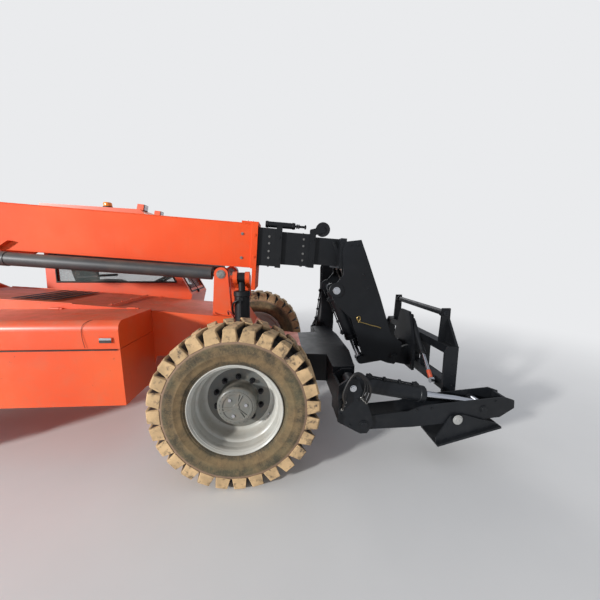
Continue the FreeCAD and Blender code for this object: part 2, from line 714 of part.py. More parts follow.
def build_knuckle(label, axle, arm_side):
    """A steering knuckle: a drum round the kingpins with a spindle for the wheel's hub."""
    x, _ = at[axle]
    knuckle = new_body(label, x, 0, s.tyre_radius)
    pin_high = s.knuckle_half_height + s.yoke_arm
    pad(knuckle, "XZ", -s.knuckle_face_y, -s.kingpin_y - 20, ((0, 0), s.knuckle_radius))
    pad(knuckle, "XY", -s.knuckle_half_height, s.knuckle_half_height, ((0, -s.kingpin_y), s.yoke_radius))
    pad(knuckle, "XY", -pin_high, pin_high, ((0, -s.kingpin_y), s.kingpin_radius))
    spindle_end = -s.knuckle_face_y - s.running_gap - s.spindle_length
    pad(knuckle, "XZ", spindle_end, -s.knuckle_face_y, ((0, 0), s.spindle_radius))
    reach = s.steer_arm_reach * arm_side
    inner = -s.kingpin_y + 15
    pad(knuckle, "XY", -78, -38, [
        (s.yoke_radius * 0.5, -s.kingpin_y - 50),
        (s.yoke_radius * 0.5, inner),
        (reach, inner + 60),
        (reach, inner + 10),
    ] if arm_side > 0 else [
        (-s.yoke_radius * 0.5, -s.kingpin_y - 50),
        (reach, inner + 10),
        (reach, inner + 60),
        (-s.yoke_radius * 0.5, inner),
    ])
    return keep(knuckle)


def build_axle(label, axle, nose_side):
    """A steered drive axle: tube, differential, a yoke at each end and a steering cylinder."""
    x, _ = at[axle]
    beam = new_body(label, x, 0, s.tyre_radius)
    depth = s.axle_half_depth
    height = s.axle_half_height
    pad(beam, "YZ", -depth, depth, [
        (-s.yoke_root_y, -height * 0.8),
        (-s.diff_half_width, -height),
        (s.diff_half_width, -height),
        (s.yoke_root_y, -height * 0.8),
        (s.yoke_root_y, height * 0.8),
        (s.diff_half_width, height),
        (-s.diff_half_width, height),
        (-s.yoke_root_y, height * 0.8),
    ])
    half = s.diff_half_width
    revolve(beam, [
        (0, -half),
        (s.diff_radius * 0.6, -half),
        (s.diff_radius * 0.72, -half * 0.6),
        (s.diff_radius * 0.72, half * 0.6),
        (s.diff_radius * 0.6, half),
        (0, half),
    ])
    nose = s.pinion_length * nose_side
    low, high = (as_size(0), nose) if nose_side > 0 else (nose, as_size(0))
    pad(beam, "YZ", low, high, ((0, 0), s.pinion_radius))
    arm_low = s.knuckle_half_height + s.running_gap
    arm_high = arm_low + s.yoke_arm - s.running_gap
    root = s.yoke_root_y - 70
    for side in (-1, 1):
        for low, high in ((arm_low, arm_high), (-arm_high, -arm_low)):
            pad(beam, "XY", low, high, box_ends(root, s.kingpin_y, side, s.yoke_radius))
            pad(beam, "XY", low, high, ((0, s.kingpin_y * side), s.yoke_radius))
            cut(beam, "XY", low, high, ((0, s.kingpin_y * side), clear(s.kingpin_radius)))
        web = [(root * side, -arm_high), ((root + 60) * side, -arm_high),
               ((root + 60) * side, arm_high), (root * side, arm_high)]
        pad(beam, "YZ", -s.yoke_radius, s.yoke_radius, web)
    behind = (depth + s.steer_barrel_radius + 6) * (-nose_side)
    steer = s.steer_barrel_half
    pad(beam, "XZ", -steer, steer, ((behind, 0), s.steer_barrel_radius))
    pad(beam, "XZ", -40, 40, box_outline(behind, -depth * nose_side, -30, 30)
        if nose_side > 0 else box_outline(depth * -nose_side, behind, -30, 30))
    return keep(beam)


def box_ends(near, far, side, half):
    """A bar across the machine, from near to far on one side."""
    return [(-half, near * side), (half, near * side), (half, far * side), (-half, far * side)]


def frame_side():
    """The frame plate's outline, clockwise from the lower front corner."""
    front, _ = at["front_axle"]
    rear, _ = at["rear_axle"]
    pivot_x, pivot_z = at["boom_pivot"]
    nose = front + s.frame_nose
    tail = rear - s.frame_tail
    return [
        (nose, s.nose_low),
        (front + s.arch_half + s.arch_slope, s.nose_low),
        (front + s.arch_half, s.arch_high),
        (front - s.arch_rear, s.arch_high),
        (front - s.arch_rear - s.arch_slope, s.frame_low),
        (rear + s.arch_half + s.arch_slope, s.frame_low),
        (rear + s.arch_half, s.arch_high),
        (rear - s.arch_half, s.arch_high),
        (rear - s.arch_half - s.arch_slope, s.weight_low),
        (tail, s.weight_low),
        at["tail_high"],
        (pivot_x - s.tower_radius, pivot_z - 60),
        (pivot_x - s.tower_radius * 0.6, pivot_z + s.tower_radius * 0.8),
        (pivot_x, pivot_z + s.tower_radius),
        (pivot_x + s.tower_radius * 0.6, pivot_z + s.tower_radius * 0.8),
        (pivot_x + s.tower_radius, pivot_z),
        at["tower_foot"],
        at["deck_rear"],
        at["deck_middle"],
        at["deck_front"],
        at["chin_high"],
        at["chin_low"],
        (nose, s.beam_top),
    ]


def weld(label, pieces):
    """One solid from several bodies, joined in a single fuse."""
    joined = document.addObject("Part::MultiFuse", label)
    joined.Label = label
    joined.Shapes = pieces
    joined.Refine = True
    return joined


def build_frame():
    """Side plates with the boom's towers, tied by decks, bulkheads and the belly plate."""
    plates = new_body("frame_plates")
    pivot = at["boom_pivot"]
    inner = s.frame_half - s.frame_plate
    for low, high in ((-s.frame_half, -inner), (inner, s.frame_half)):
        pad(plates, "XZ", low, high, frame_side())
    decks = build_decks(inner)
    bulkheads = build_bulkheads(inner)
    towers = new_body("frame_towers")
    for side in (-1, 1):
        low, high = sorted_pair(s.tower_boss_inner_y, inner + 1, side)
        pad(towers, "XZ", low, high, (pivot, s.pivot_boss_radius))
    pad(towers, "XZ", -s.frame_half - 20, s.frame_half + 20, (pivot, s.pivot_pin_radius))
    lift_lugs = new_body("frame_lift_lugs")
    build_lift_lugs(lift_lugs)
    sway_lugs = new_body("frame_sway_lugs")
    build_sway_lugs(sway_lugs)
    return keep(weld("frame", [plates, decks, bulkheads, towers, lift_lugs, sway_lugs]))


def build_decks(inner):
    """The deck, the front slope and the nose plate between the side plates."""
    decks = new_body("frame_decks")
    front, _ = at["front_axle"]
    deck = ["deck_front", "deck_middle", "deck_rear"]
    pad(decks, "XZ", -inner, inner,
        [at[name] for name in deck] + [shifted(name, 0, -s.skin) for name in reversed(deck)])
    chin = ["deck_front", "chin_high", "chin_low"]
    nose = front + s.frame_nose
    pad(decks, "XZ", -inner, inner,
        [at[name] for name in chin] + [(nose, s.beam_top), (nose, s.beam_top - s.skin)]
        + [shifted(name, -s.skin, -s.skin) for name in reversed(chin)])
    pad(decks, "XZ", -inner, inner, box_outline(nose - s.skin, nose, s.nose_low, s.beam_top))
    return decks


def build_bulkheads(inner):
    """The belly plate, the bulkheads, the plates over the axles and the pads that clamp them."""
    bulkheads = new_body("frame_bulkheads")
    front, _ = at["front_axle"]
    rear, _ = at["rear_axle"]
    belly_front = front - s.arch_rear - s.arch_slope
    belly_rear = rear + s.arch_half + s.arch_slope
    pad(bulkheads, "XZ", -inner, inner, box_outline(belly_rear, belly_front, s.frame_low,
                                                    s.frame_low + s.skin))
    for edge in (belly_front - s.skin, front - s.cowl_front - 500, belly_rear):
        pad(bulkheads, "XZ", -inner, inner, box_outline(edge, edge + s.skin, s.frame_low, 1180))
    tail = rear - s.frame_tail
    pad(bulkheads, "XZ", -inner, inner, box_outline(tail, tail + s.frame_plate, s.weight_low, 1150))
    top = s.tyre_radius + s.axle_half_height
    for axle_x in (front, rear):
        half = s.arch_half - 40
        pad(bulkheads, "XZ", -inner, inner, box_outline(axle_x - half, axle_x + half, s.arch_high,
                                                        s.arch_high + s.skin))
        for side in (-1, 1):
            low, high = sorted_pair(160, 260, side)
            pad(bulkheads, "XZ", low, high, box_outline(axle_x - 80, axle_x + 80, top, s.arch_high + 2))
    return bulkheads


def sorted_pair(near, far, side):
    """Two levels, near and far from the centre plane, in rising order on the given side."""
    if side > 0:
        return (as_size(near), as_size(far))
    return (-as_size(far), -as_size(near))


def build_lift_lugs(frame):
    """Two plates on the deck beside each lift cylinder's base eye, with its pin."""
    x, z = at["lift_base"]
    near = s.lift_y - s.lift_eye_width / 2 - s.lift_lug_gap
    far = s.lift_y + s.lift_eye_width / 2 + s.lift_lug_gap
    foot = z - 440
    for side in (-1, 1):
        for inner, outer in ((near - s.lift_lug_plate, near), (far, far + s.lift_lug_plate)):
            low, high = sorted_pair(inner, outer, side)
            pad(frame, "XZ", low, high, [(x - s.lift_lug_foot, foot), (x + s.lift_lug_foot, foot),
                                            (x + 66, z), (x - 66, z)])
            pad(frame, "XZ", low, high, ((x, z), s.lift_eye_radius))
        low, high = sorted_pair(near, far, side)
        pad(frame, "XZ", low, high, ((x, z), s.lift_pin_radius))
        pad(frame, "XZ", low, high, box_outline(x + 58, x + 72, foot, z - 130))


def build_sway_lugs(frame):
    """Two cheeks across the right frame plate for the frame-levelling cylinder, pinned fore and aft."""
    x, z = at["sway_top"]
    near = s.sway_eye_width / 2 + 1
    far = near + s.sway_cheek
    inner = s.frame_half - s.frame_plate
    pad(frame, "XZ", -s.frame_half, -inner, [(x - far, 1120), (x - 10, 1120), (x + far, z - 170),
                                             (x + far, z + 20), (x - far, z + 20)])
    for low, high in ((x - far, x - near), (x + near, x + far)):
        pad(frame, "YZ", low, high, [(-s.sway_y - s.sway_cheek_radius, z), (-s.frame_half + 5, z - 110),
                                     (-s.frame_half + 5, z + 20), (-s.sway_y, z + 20)])
        pad(frame, "YZ", low, high, ((-s.sway_y, z), s.sway_cheek_radius))
    pad(frame, "YZ", x - near, x + near, ((-s.sway_y, z), s.sway_pin_radius))


def build_sway_cylinder():
    """The frame-levelling cylinder, from its cheeks down to the front axle."""
    x, z = at["sway_top"]
    cylinder = new_body("sway_cylinder", x, -s.sway_y, 0)
    half = s.sway_eye_width / 2
    taper = (s.sway_y - half - s.diff_half_width) / (s.yoke_root_y - s.diff_half_width)
    bottom = s.tyre_radius + s.axle_half_height * (1 - taper * 0.2) + s.seat_gap
    for low, high, radius in ((s.sway_gland, z - 130, s.sway_barrel_radius),
                              (z - 140, z - 40, s.sway_rod_radius),
                              (bottom + 60, s.sway_gland + 10, s.sway_rod_radius)):
        pad(cylinder, "XY", low, high, ((0, 0), radius))
    pad(cylinder, "YZ", -half, half, ((0, z), 50))
    cut(cylinder, "YZ", -half, half, ((0, z), clear(s.sway_pin_radius)))
    pad(cylinder, "XY", bottom, bottom + 70, box_outline(-45, 45, -half, half))
    return keep(cylinder)


def build_crossmember():
    """The black front crossmember, with cheeks for the outrigger legs and their cylinders."""
    beam = new_body("front_crossmember")
    front, _ = at["front_axle"]
    leg_x, leg_z = at["leg_pivot"]
    base_x, base_z = at["leg_cylinder_base"]
    inner = s.frame_half
    rear = front + s.beam_rear
    nose = front + s.beam_front
    pad(beam, "XY", s.beam_low, s.beam_top, [
        (front + s.frame_nose, -inner),
        (rear, -inner - 40),
        (rear, -s.beam_half),
        (nose - 60, -s.beam_half),
        (nose, -inner + 80),
        (nose, inner - 80),
        (nose - 60, s.beam_half),
        (rear, s.beam_half),
        (rear, inner + 40),
        (front + s.frame_nose, inner),
    ])
    cut(beam, "XY", s.beam_low, s.beam_top - 30, box_outline(rear - 120, nose - 90, -inner + 60, inner - 60))
    near = s.outrigger_y - s.leg_half - s.running_gap
    far = s.outrigger_y + s.leg_half + s.running_gap
    cheek = [
        (rear, leg_z + 30),
        (leg_x - 30, leg_z - 78),
        (leg_x + 30, leg_z - 78),
        (leg_x + 78, leg_z),
        (leg_x + 60, leg_z + 90),
        (base_x + 70, base_z),
        (base_x + 45, base_z + 70),
        (base_x - 45, base_z + 70),
        (rear, base_z + 20),
    ]
    for side in (-1, 1):
        low, high = sorted_pair(s.beam_half, near, side)
        pad(beam, "XZ", low, high, cheek)
        low, high = sorted_pair(far, far + s.leg_cheek, side)
        pad(beam, "XZ", low, high, cheek)
        low, high = sorted_pair(near, far, side)
        pad(beam, "XZ", low, high, box_outline(rear, rear + 20, leg_z + 40, base_z + 20))
        pad(beam, "XZ", low, high, ((leg_x, leg_z), s.leg_pin_radius))
        pad(beam, "XZ", low, high, ((base_x, base_z), s.leg_pin_radius))
    return keep(beam)


def build_leg(label, mirror_label, fold):
    """An outrigger leg: two side plates, a bottom plate and a nose, open on top for its cylinder."""
    x, z = at["leg_pivot"]
    leg = new_body(label, x, -s.outrigger_y, z, -(s.leg_rise + fold))
    half = s.leg_half
    depth = s.leg_half_depth
    side = [
        (-20, -s.leg_root_half),
        (0, -s.leg_root_half - 8),
        (430, -depth),
        (s.leg_length - 130, -depth),
        (s.leg_length, -20),
        (s.leg_length, 50),
        (s.leg_length - 90, depth),
        (520, depth),
        (400, s.leg_root_half),
        (-20, s.leg_root_half),
    ]
    for low, high in ((-half, -half + s.leg_plate), (half - s.leg_plate, half)):
        pad(leg, "XZ", low, high, side)
        pad(leg, "XZ", low, high, ((0, 0), s.leg_boss_radius))
    pad(leg, "XZ", -half + s.leg_plate, half - s.leg_plate, [
        (430, -depth),
        (s.leg_length - 130, -depth),
        (s.leg_length - 40, -depth + 45),
        (s.leg_length - 40, -depth + 62),
        (s.leg_length - 135, -depth + 14),
        (430, -depth + 14),
    ])
    pad(leg, "XZ", -half, half, ((0, 0), s.leg_boss_radius))
    cut(leg, "XZ", -half, half, ((0, 0), clear(s.leg_pin_radius)))
    inner = half - s.leg_plate
    pad(leg, "YZ", s.leg_length - 60, s.leg_length - 40, box_outline(-inner, inner, -30, 60))
    eye_edge = s.leg_eye_half + s.running_gap
    for sign in (-1, 1):
        low, high = sorted_pair(eye_edge, inner, sign)
        pad(leg, "XZ", low, high, ((s.rod_pin_reach, 0), s.leg_eye_radius - 8))
    cut(leg, "XZ", -half, half, ((s.foot_pin_reach, -s.foot_pin_drop), clear(s.foot_pin_radius)))
    cut(leg, "XY", -depth, -depth + 14, box_outline(s.rod_pin_reach - 110, s.rod_pin_reach + 75, -72, 72))
    return keep_side(leg, label, mirror_label)


def keep_side(source, label, mirror_label):
    """Keeps a right-hand piece as it is, or its mirror image for the left."""
    if mirror_label is None:
        return keep(source)
    source.Label = label + "_source"
    return keep(mirrored(mirror_label, source))


def turned(along, above, fold):
    """A point given in a leg's own frame, in the machine's side view."""
    x, z = at["leg_pivot"]
    angle = s.leg_rise + fold
    return (x + along * cosine(angle) - above * sine(angle), z + along * sine(angle) + above * cosine(angle))


def build_foot(label, mirror_label, fold):
    """A hinged foot: a sole with turned-up ends between two cheeks that hug the leg."""
    x, z = turned(s.foot_pin_reach, -s.foot_pin_drop, fold)
    foot = new_body(label, x, -s.outrigger_y, z, -(s.leg_rise + fold))
    near = s.leg_half + s.running_gap + 1
    far = near + s.leg_plate
    for side in (-1, 1):
        low, high = sorted_pair(near, far, side)
        pad(foot, "XZ", low, high, [
            (-s.foot_heel, -s.foot_heel_drop),
            (s.foot_toe, -s.foot_toe_drop),
            (s.foot_toe - 20, -s.foot_toe_drop + 30),
            (60, 32),
            (-50, 32),
            (-s.foot_heel, -s.foot_heel_drop + 70),
        ])
        low, high = sorted_pair(s.leg_half - s.leg_plate, far + 12, side)
        pad(foot, "XZ", low, high, ((0, 0), s.foot_pin_radius))
    pad(foot, "XZ", -s.foot_half, s.foot_half, [
        (-s.foot_heel, -s.foot_heel_drop),
        (s.foot_toe, -s.foot_toe_drop),
        (s.foot_toe - 4, -s.foot_toe_drop + s.foot_sole),
        (-s.foot_heel - 4, -s.foot_heel_drop + s.foot_sole),
    ])
    return keep_side(foot, label, mirror_label)


def build_leg_cylinder(side_name, mirror, fold):
    """An outrigger cylinder's barrel and rod, along the line between its two pins."""
    base_x, base_z = at["leg_cylinder_base"]
    end_x, end_z = turned(s.rod_pin_reach, as_size(0), fold)
    reach = distance(end_x - base_x, end_z - base_z)
    angle = heading(end_x - base_x, end_z - base_z)
    names = (f"outrigger_barrel_{side_name}", f"outrigger_rod_{side_name}")
    barrel = new_body(names[0], base_x, -s.outrigger_y, base_z, -angle)
    half = s.leg_eye_half
    pad(barrel, "YZ", 40, s.leg_cylinder_length, ((0, 0), s.leg_cylinder_radius))
    pad(barrel, "XZ", -half, half, ((0, 0), s.leg_eye_radius))
    cut(barrel, "XZ", -half, half, ((0, 0), clear(s.leg_pin_radius)))
    cut(barrel, "YZ", 90, s.leg_cylinder_length, ((0, 0), clear(s.leg_rod_radius)))
    rod = new_body(names[1], base_x, -s.outrigger_y, base_z, -angle)
    pad(rod, "YZ", reach - s.leg_rod_length, reach - 20, ((0, 0), s.leg_rod_radius))
    pad(rod, "XZ", -half, half, ((reach, 0), s.leg_eye_radius - 8))
    if mirror:
        keep_side(barrel, names[0], names[0])
        keep_side(rod, names[1], names[1])
    else:
        keep(barrel)
        keep(rod)


def section_half(index):
    """Half the width and half the height of a boom section, counted from the outer one."""
    return ((s.outer_width - s.section_step * index) / 2, (s.outer_height - s.section_step * index) / 2)


def build_section(label, index, start, end):
    """One boom section: a welded box with a collar at its mouth and wear pads at both ends."""
    x, z = at["boom_pivot"]
    section = new_body(label, x, 0, z, s.boom_droop)
    wide, high = section_half(index)
    wall = s.outer_wall
    pad(section, "YZ", start, end, box_outline(-wide, wide, -high, high))
    cut(section, "YZ", start, end, box_outline(-wide + wall, wide - wall, -high + wall, high - wall))
    return section


def add_collar(section, index, end):
    """A band round the section's mouth, and the pads inside that guide the next section."""
    wide, high = section_half(index)
    next_wide, next_high = section_half(index + 1)
    wall = s.outer_wall
    rim = s.collar_height
    pad(section, "YZ", end - s.collar_length, end,
        box_outline(-wide - rim, wide + rim, -high - rim, high + rim),
        box_outline(-wide + wall, wide - wall, -high + wall, high - wall))
    top = next_high + s.seat_gap
    side = next_wide + s.seat_gap
    start = end - s.pad_length
    for sign in (-1, 1):
        low, top_level = sorted_pair(top, high - wall + 1, sign)
        pad(section, "YZ", start, end, box_outline(-s.pad_width / 2, s.pad_width / 2, low, top_level))
        low, side_level = sorted_pair(side, wide - wall + 1, sign)
        pad(section, "YZ", start, end, box_outline(low, side_level, -s.pad_width / 2, s.pad_width / 2))
        low, head = sorted_pair(wide + rim - 2, wide + rim + 9, sign)
        bolts = [((end - s.collar_length / 2, level), s.collar_bolt_radius)
                 for level in (-s.collar_bolt_level, s.collar_bolt_level)]
        pad(section, "XZ", low, head, *bolts)


def build_boom():
    """The outer section with its pivot tube, mouth plate and lift lugs, and the three sections inside it."""
    outer = build_section("boom_outer", 0, -s.outer_tail, s.outer_length)
    wide, high = section_half(0)
    add_collar(outer, 0, s.outer_length)
    pad(outer, "YZ", s.outer_length - s.flange_thick_x, s.outer_length,
        box_outline(-wide - 14, wide + 14, -high - s.flange_drop, -high))
    pad(outer, "YZ", s.outer_length - s.mouth_plate_length, s.outer_length,
        box_outline(-s.mouth_plate_half, s.mouth_plate_half, high - 2, high + s.mouth_plate_high))
    boss = s.tower_boss_inner_y - s.running_gap
    pad(outer, "XZ", -boss, boss, ((0, 0), s.pivot_boss_radius))
    cut(outer, "XZ", -boss, boss, ((0, 0), clear(s.pivot_pin_radius)))
    eye_x, eye_z = in_boom_frame("lift_eye")
    inner = s.lift_y - s.lift_eye_width / 2 - s.lift_lug_gap - 3
    for side in (-1, 1):
        low, level = sorted_pair(wide - 2, inner, side)
        pad(outer, "XZ", low, level, [(eye_x - 330, -high + 90), (eye_x - 90, eye_z - 10),
                                      (eye_x + 90, eye_z - 10), (eye_x + 330, -high + 90)])
        pad(outer, "XZ", low, level, ((eye_x, eye_z), s.lift_eye_radius + 14))
    keep(outer)
    ends = (s.second_length, s.third_length, s.inner_length)
    labels = ("boom_second", "boom_third", "boom_inner")
    for index, (label, end) in enumerate(zip(labels, ends), start=1):
        start = s.section_start + s.start_step * (index - 1)
        section = build_section(label, index, start, end)
        if index < 3:
            add_collar(section, index, end)
        add_tail_pads(section, index, start)
        if index == 1:
            add_tensioner(section, end)
        if index == 2:
            add_sheave(section, end)
        keep(section)


def add_tensioner(section, end):
    """The hose tensioner that lies on top of the second section's front end."""
    _, high = section_half(1)
    level = high + s.collar_height + s.tensioner_radius + 8
    pad(section, "XY", high, level, box_outline(end - s.collar_length, end, -s.tensioner_y - 30,
                                                -s.tensioner_y + 30))
    pad(section, "YZ", s.tensioner_rear, s.tensioner_front, ((-s.tensioner_y, level), s.tensioner_radius))
    pad(section, "YZ", s.tensioner_front - 10, s.tensioner_rod_front,
        ((-s.tensioner_y, level), s.tensioner_radius * 0.4))


def add_sheave(section, end):
    """The hose sheave ahead of the third section, between two bracket plates on its collar."""
    _, high = section_half(2)
    x = end + s.sheave_ahead
    z = high + s.sheave_above
    for low, level in ((-s.sheave_y - s.sheave_half - 14, -s.sheave_y - s.sheave_half),
                       (-s.sheave_y + s.sheave_half, -s.sheave_y + s.sheave_half + 14)):
        pad(section, "XZ", low, level, [(end - s.collar_length, high), (end, high), (x + 20, z - 34),
                                        (x + 30, z), (x, z + 30), (end - s.collar_length, high + 50)])
    pad(section, "XZ", -s.sheave_y - s.sheave_half - 8, -s.sheave_y + s.sheave_half + 8, ((x, z), 20))
    pad(section, "XZ", -s.sheave_y - s.sheave_half, -s.sheave_y + s.sheave_half, ((x, z), s.sheave_radius))


def add_tail_pads(section, index, start):
    """Pads outside the section's rear end, which run in the section round it."""
    wide, high = section_half(index)
    outer_wide, outer_high = section_half(index - 1)
    gap = s.outer_wall + s.seat_gap
    for sign in (-1, 1):
        low, level = sorted_pair(high - 1, outer_high - gap, sign)
        pad(section, "YZ", start, start + s.pad_length, box_outline(-s.pad_width / 2, s.pad_width / 2,
                                                                    low, level))
        low, level = sorted_pair(wide - 1, outer_wide - gap, sign)
        pad(section, "YZ", start, start + s.pad_length, box_outline(low, level, -s.pad_width / 2,
                                                                    s.pad_width / 2))


def in_boom_frame(place):
    """A place in the boom's own frame, along and above its middle line."""
    pivot_x, pivot_z = at["boom_pivot"]
    x, z = at[place]
    across = x - pivot_x
    up = z - pivot_z
    slope_x = cosine(s.boom_droop)
    slope_z = sine(s.boom_droop)
    return (across * slope_x - up * slope_z, across * slope_z + up * slope_x)


def build_lift_cylinders():
    """The two lift cylinders, from the frame's front lugs back to the boom."""
    base_x, base_z = at["lift_base"]
    end_x, end_z = at["lift_eye"]
    reach = distance(end_x - base_x, end_z - base_z)
    angle = heading(end_x - base_x, end_z - base_z)
    half = s.lift_eye_width / 2
    barrel = new_body("lift_barrel", base_x, -s.lift_y, base_z, -angle)
    pad(barrel, "YZ", 95, s.lift_barrel_length, ((0, 0), s.lift_barrel_radius))
    pad(barrel, "YZ", 40, 100, ((0, 0), half - 2))
    pad(barrel, "YZ", s.lift_barrel_length - 70, s.lift_barrel_length, ((0, 0), s.lift_barrel_radius + 5))
    pad(barrel, "XZ", -half, half, ((0, 0), s.lift_eye_radius))
    cut(barrel, "XZ", -half, half, ((0, 0), clear(s.lift_pin_radius)))
    cut(barrel, "YZ", 120, s.lift_barrel_length, ((0, 0), clear(s.lift_rod_radius)))
    keep(both_sides("lift_barrels", barrel))
    rod = new_body("lift_rod", base_x, -s.lift_y, base_z, -angle)
    pad(rod, "YZ", 160, reach - 30, ((0, 0), s.lift_rod_radius))
    pad(rod, "XZ", -half, half, ((reach, 0), s.lift_eye_radius))
    keep(both_sides("lift_rods", rod))


def build_gooseneck():
    """The boom head: two side plates that carry the quick attach on a pair of lower arms."""
    neck = new_body("gooseneck_plates")
    outline = [at[name] for name in ("neck_crown_rear", "neck_crown_front", "neck_brow", "neck_shin",
                                     "neck_toe", "neck_sole", "neck_heel", "neck_horn", "neck_nape",
                                     "neck_back")]
    inner = s.neck_half - s.neck_plate
    for side in (-1, 1):
        low, high = sorted_pair(inner, s.neck_half, side)
        pad(neck, "XZ", low, high, outline)
    front = ["neck_crown_front", "neck_brow", "neck_shin"]
    pad(neck, "XZ", -inner, inner,
        [at[name] for name in front] + [shifted(name, -s.skin - 6, 0) for name in reversed(front)])
    pad(neck, "XZ", -inner, inner, [at["neck_crown_rear"], at["neck_crown_front"],
                                    shifted("neck_crown_front", -6, -s.skin - 4),
                                    shifted("neck_crown_rear", 0, -s.skin - 4)])
    quick = at["quick_pivot"]
    arm_inner = s.arm_half - s.arm_plate
    arm = [shifted("neck_shin", -250, 60), shifted("neck_shin", -20, 0), shifted("neck_toe", 0, 0),
           at["arm_knee"], shifted("quick_pivot", 88, 0), shifted("quick_pivot", 20, -86),
           shifted("quick_pivot", -60, -70), at["arm_calf"], shifted("neck_sole", 0, 20)]
    for side in (-1, 1):
        low, high = sorted_pair(arm_inner, s.arm_half, side)
        pad(neck, "XZ", low, high, arm)
        low, high = sorted_pair(s.arm_half, inner, side)
        pad(neck, "XZ", low, high, [shifted("neck_shin", -40, 0), shifted("neck_shin", -20, -10),
                                    shifted("neck_toe", -20, 20), shifted("neck_toe", -42, 20)])
        pad(neck, "XZ", low, high, [shifted("neck_sole", 10, 12), shifted("neck_toe", -20, 12),
                                    shifted("neck_toe", -20, 32), shifted("neck_sole", 10, 32)])
    pad(neck, "XZ", -s.arm_half, s.arm_half, (quick, s.quick_pin_radius))
    base = at["tilt_base"]
    pad(neck, "XZ", -inner, inner, (base, s.tilt_pin_radius))
    for side in (-1, 1):
        low, high = sorted_pair(inner, s.neck_half + s.neck_boss_high, side)
        pad(neck, "XZ", low, high, (base, s.neck_boss_radius))
    x, z = at["boom_pivot"]
    flange = new_body("gooseneck_flange", x, 0, z, s.boom_droop)
    _, high = section_half(3)
    start = s.inner_length + s.seat_gap
    pad(flange, "YZ", start, start + s.neck_flange, box_outline(-inner, inner, -high - 20, high))
    return keep(weld("gooseneck", [neck, flange]))


def build_tilt_cylinder():
    """The tilt cylinder, from the gooseneck down to the quick attach's lever."""
    base_x, base_z = at["tilt_base"]
    end_x, end_z = at["lever_pin"]
    reach = distance(end_x - base_x, end_z - base_z)
    angle = heading(end_x - base_x, end_z - base_z)
    half = s.tilt_eye_half
    barrel = new_body("tilt_barrel", base_x, 0, base_z, -angle)
    pad(barrel, "YZ", 30, s.tilt_barrel_length, ((0, 0), s.tilt_barrel_radius))
    pad(barrel, "XZ", -half, half, ((0, 0), s.tilt_eye_radius))
    cut(barrel, "XZ", -half, half, ((0, 0), clear(s.tilt_pin_radius)))
    cut(barrel, "YZ", 90, s.tilt_barrel_length, ((0, 0), clear(s.tilt_rod_radius)))
    keep(barrel)
    rod = new_body("tilt_rod", base_x, 0, base_z, -angle)
    pad(rod, "YZ", 300, reach - 20, ((0, 0), s.tilt_rod_radius))
    pad(rod, "XZ", -half, half, ((reach, 0), s.tilt_eye_radius))
    keep(rod)


def build_quick_attach():
    """The tilting head: pivot tube, lever, and the face plate that the carriage leans on."""
    quick = new_body("quick_attach")
    pivot = at["quick_pivot"]
    pin_x, pin_z = at["lever_pin"]
    face_x, face_z = at["quick_face"]
    inner = s.arm_half - s.arm_plate - s.running_gap
    pad(quick, "XZ", -inner, inner, (pivot, s.quick_tube_radius))
    near = s.tilt_eye_half + s.running_gap
    for side in (-1, 1):
        low, high = sorted_pair(near, near + s.lever_plate, side)
        pad(quick, "XZ", low, high, [(pin_x, pin_z - 46), shifted("quick_pivot", 0, -68),
                                     shifted("quick_pivot", 0, 68), (pin_x, pin_z + 46)])
        pad(quick, "XZ", low, high, ((pin_x, pin_z), 46))
        low, high = sorted_pair(inner - 40, inner, side)
        pad(quick, "XZ", low, high, [shifted("quick_pivot", 0, -70), (face_x, face_z - 110),
                                     (face_x, face_z + 130), shifted("quick_pivot", 0, 70)])
    top = s.lean_base_above + 70
    pad(quick, "YZ", face_x, face_x + s.quick_plate, [
        (-s.quick_half, face_z - 130),
        (s.quick_half, face_z - 130),
        (s.quick_half, face_z + 170),
        (110, face_z + top),
        (-110, face_z + top),
        (-s.quick_half, face_z + 170),
    ])
    lean_x, lean_z = at["lean_pivot"]
    back = lean_x + s.quick_plate
    front = back + s.carriage_gap + s.carriage_depth - 20
    pad(quick, "YZ", back, front, ((0, lean_z), s.carriage_pin_radius))
    pad(quick, "YZ", back, back + 20, ((0, lean_z), s.carriage_boss_radius))
    base_x, base_z = at["lean_base"]
    back = base_x + s.quick_plate
    middle = s.carriage_gap / 2
    pad(quick, "YZ", back, back + middle + s.lean_eye_half, ((s.lean_base_y, base_z), s.lean_pin_radius))
    pad(quick, "YZ", back, back + middle - s.lean_eye_half - s.seat_gap,
        ((s.lean_base_y, base_z), s.lean_eye_radius))
    cut(quick, "XZ", -inner, inner, (pivot, clear(s.quick_pin_radius)))
    return keep(quick)


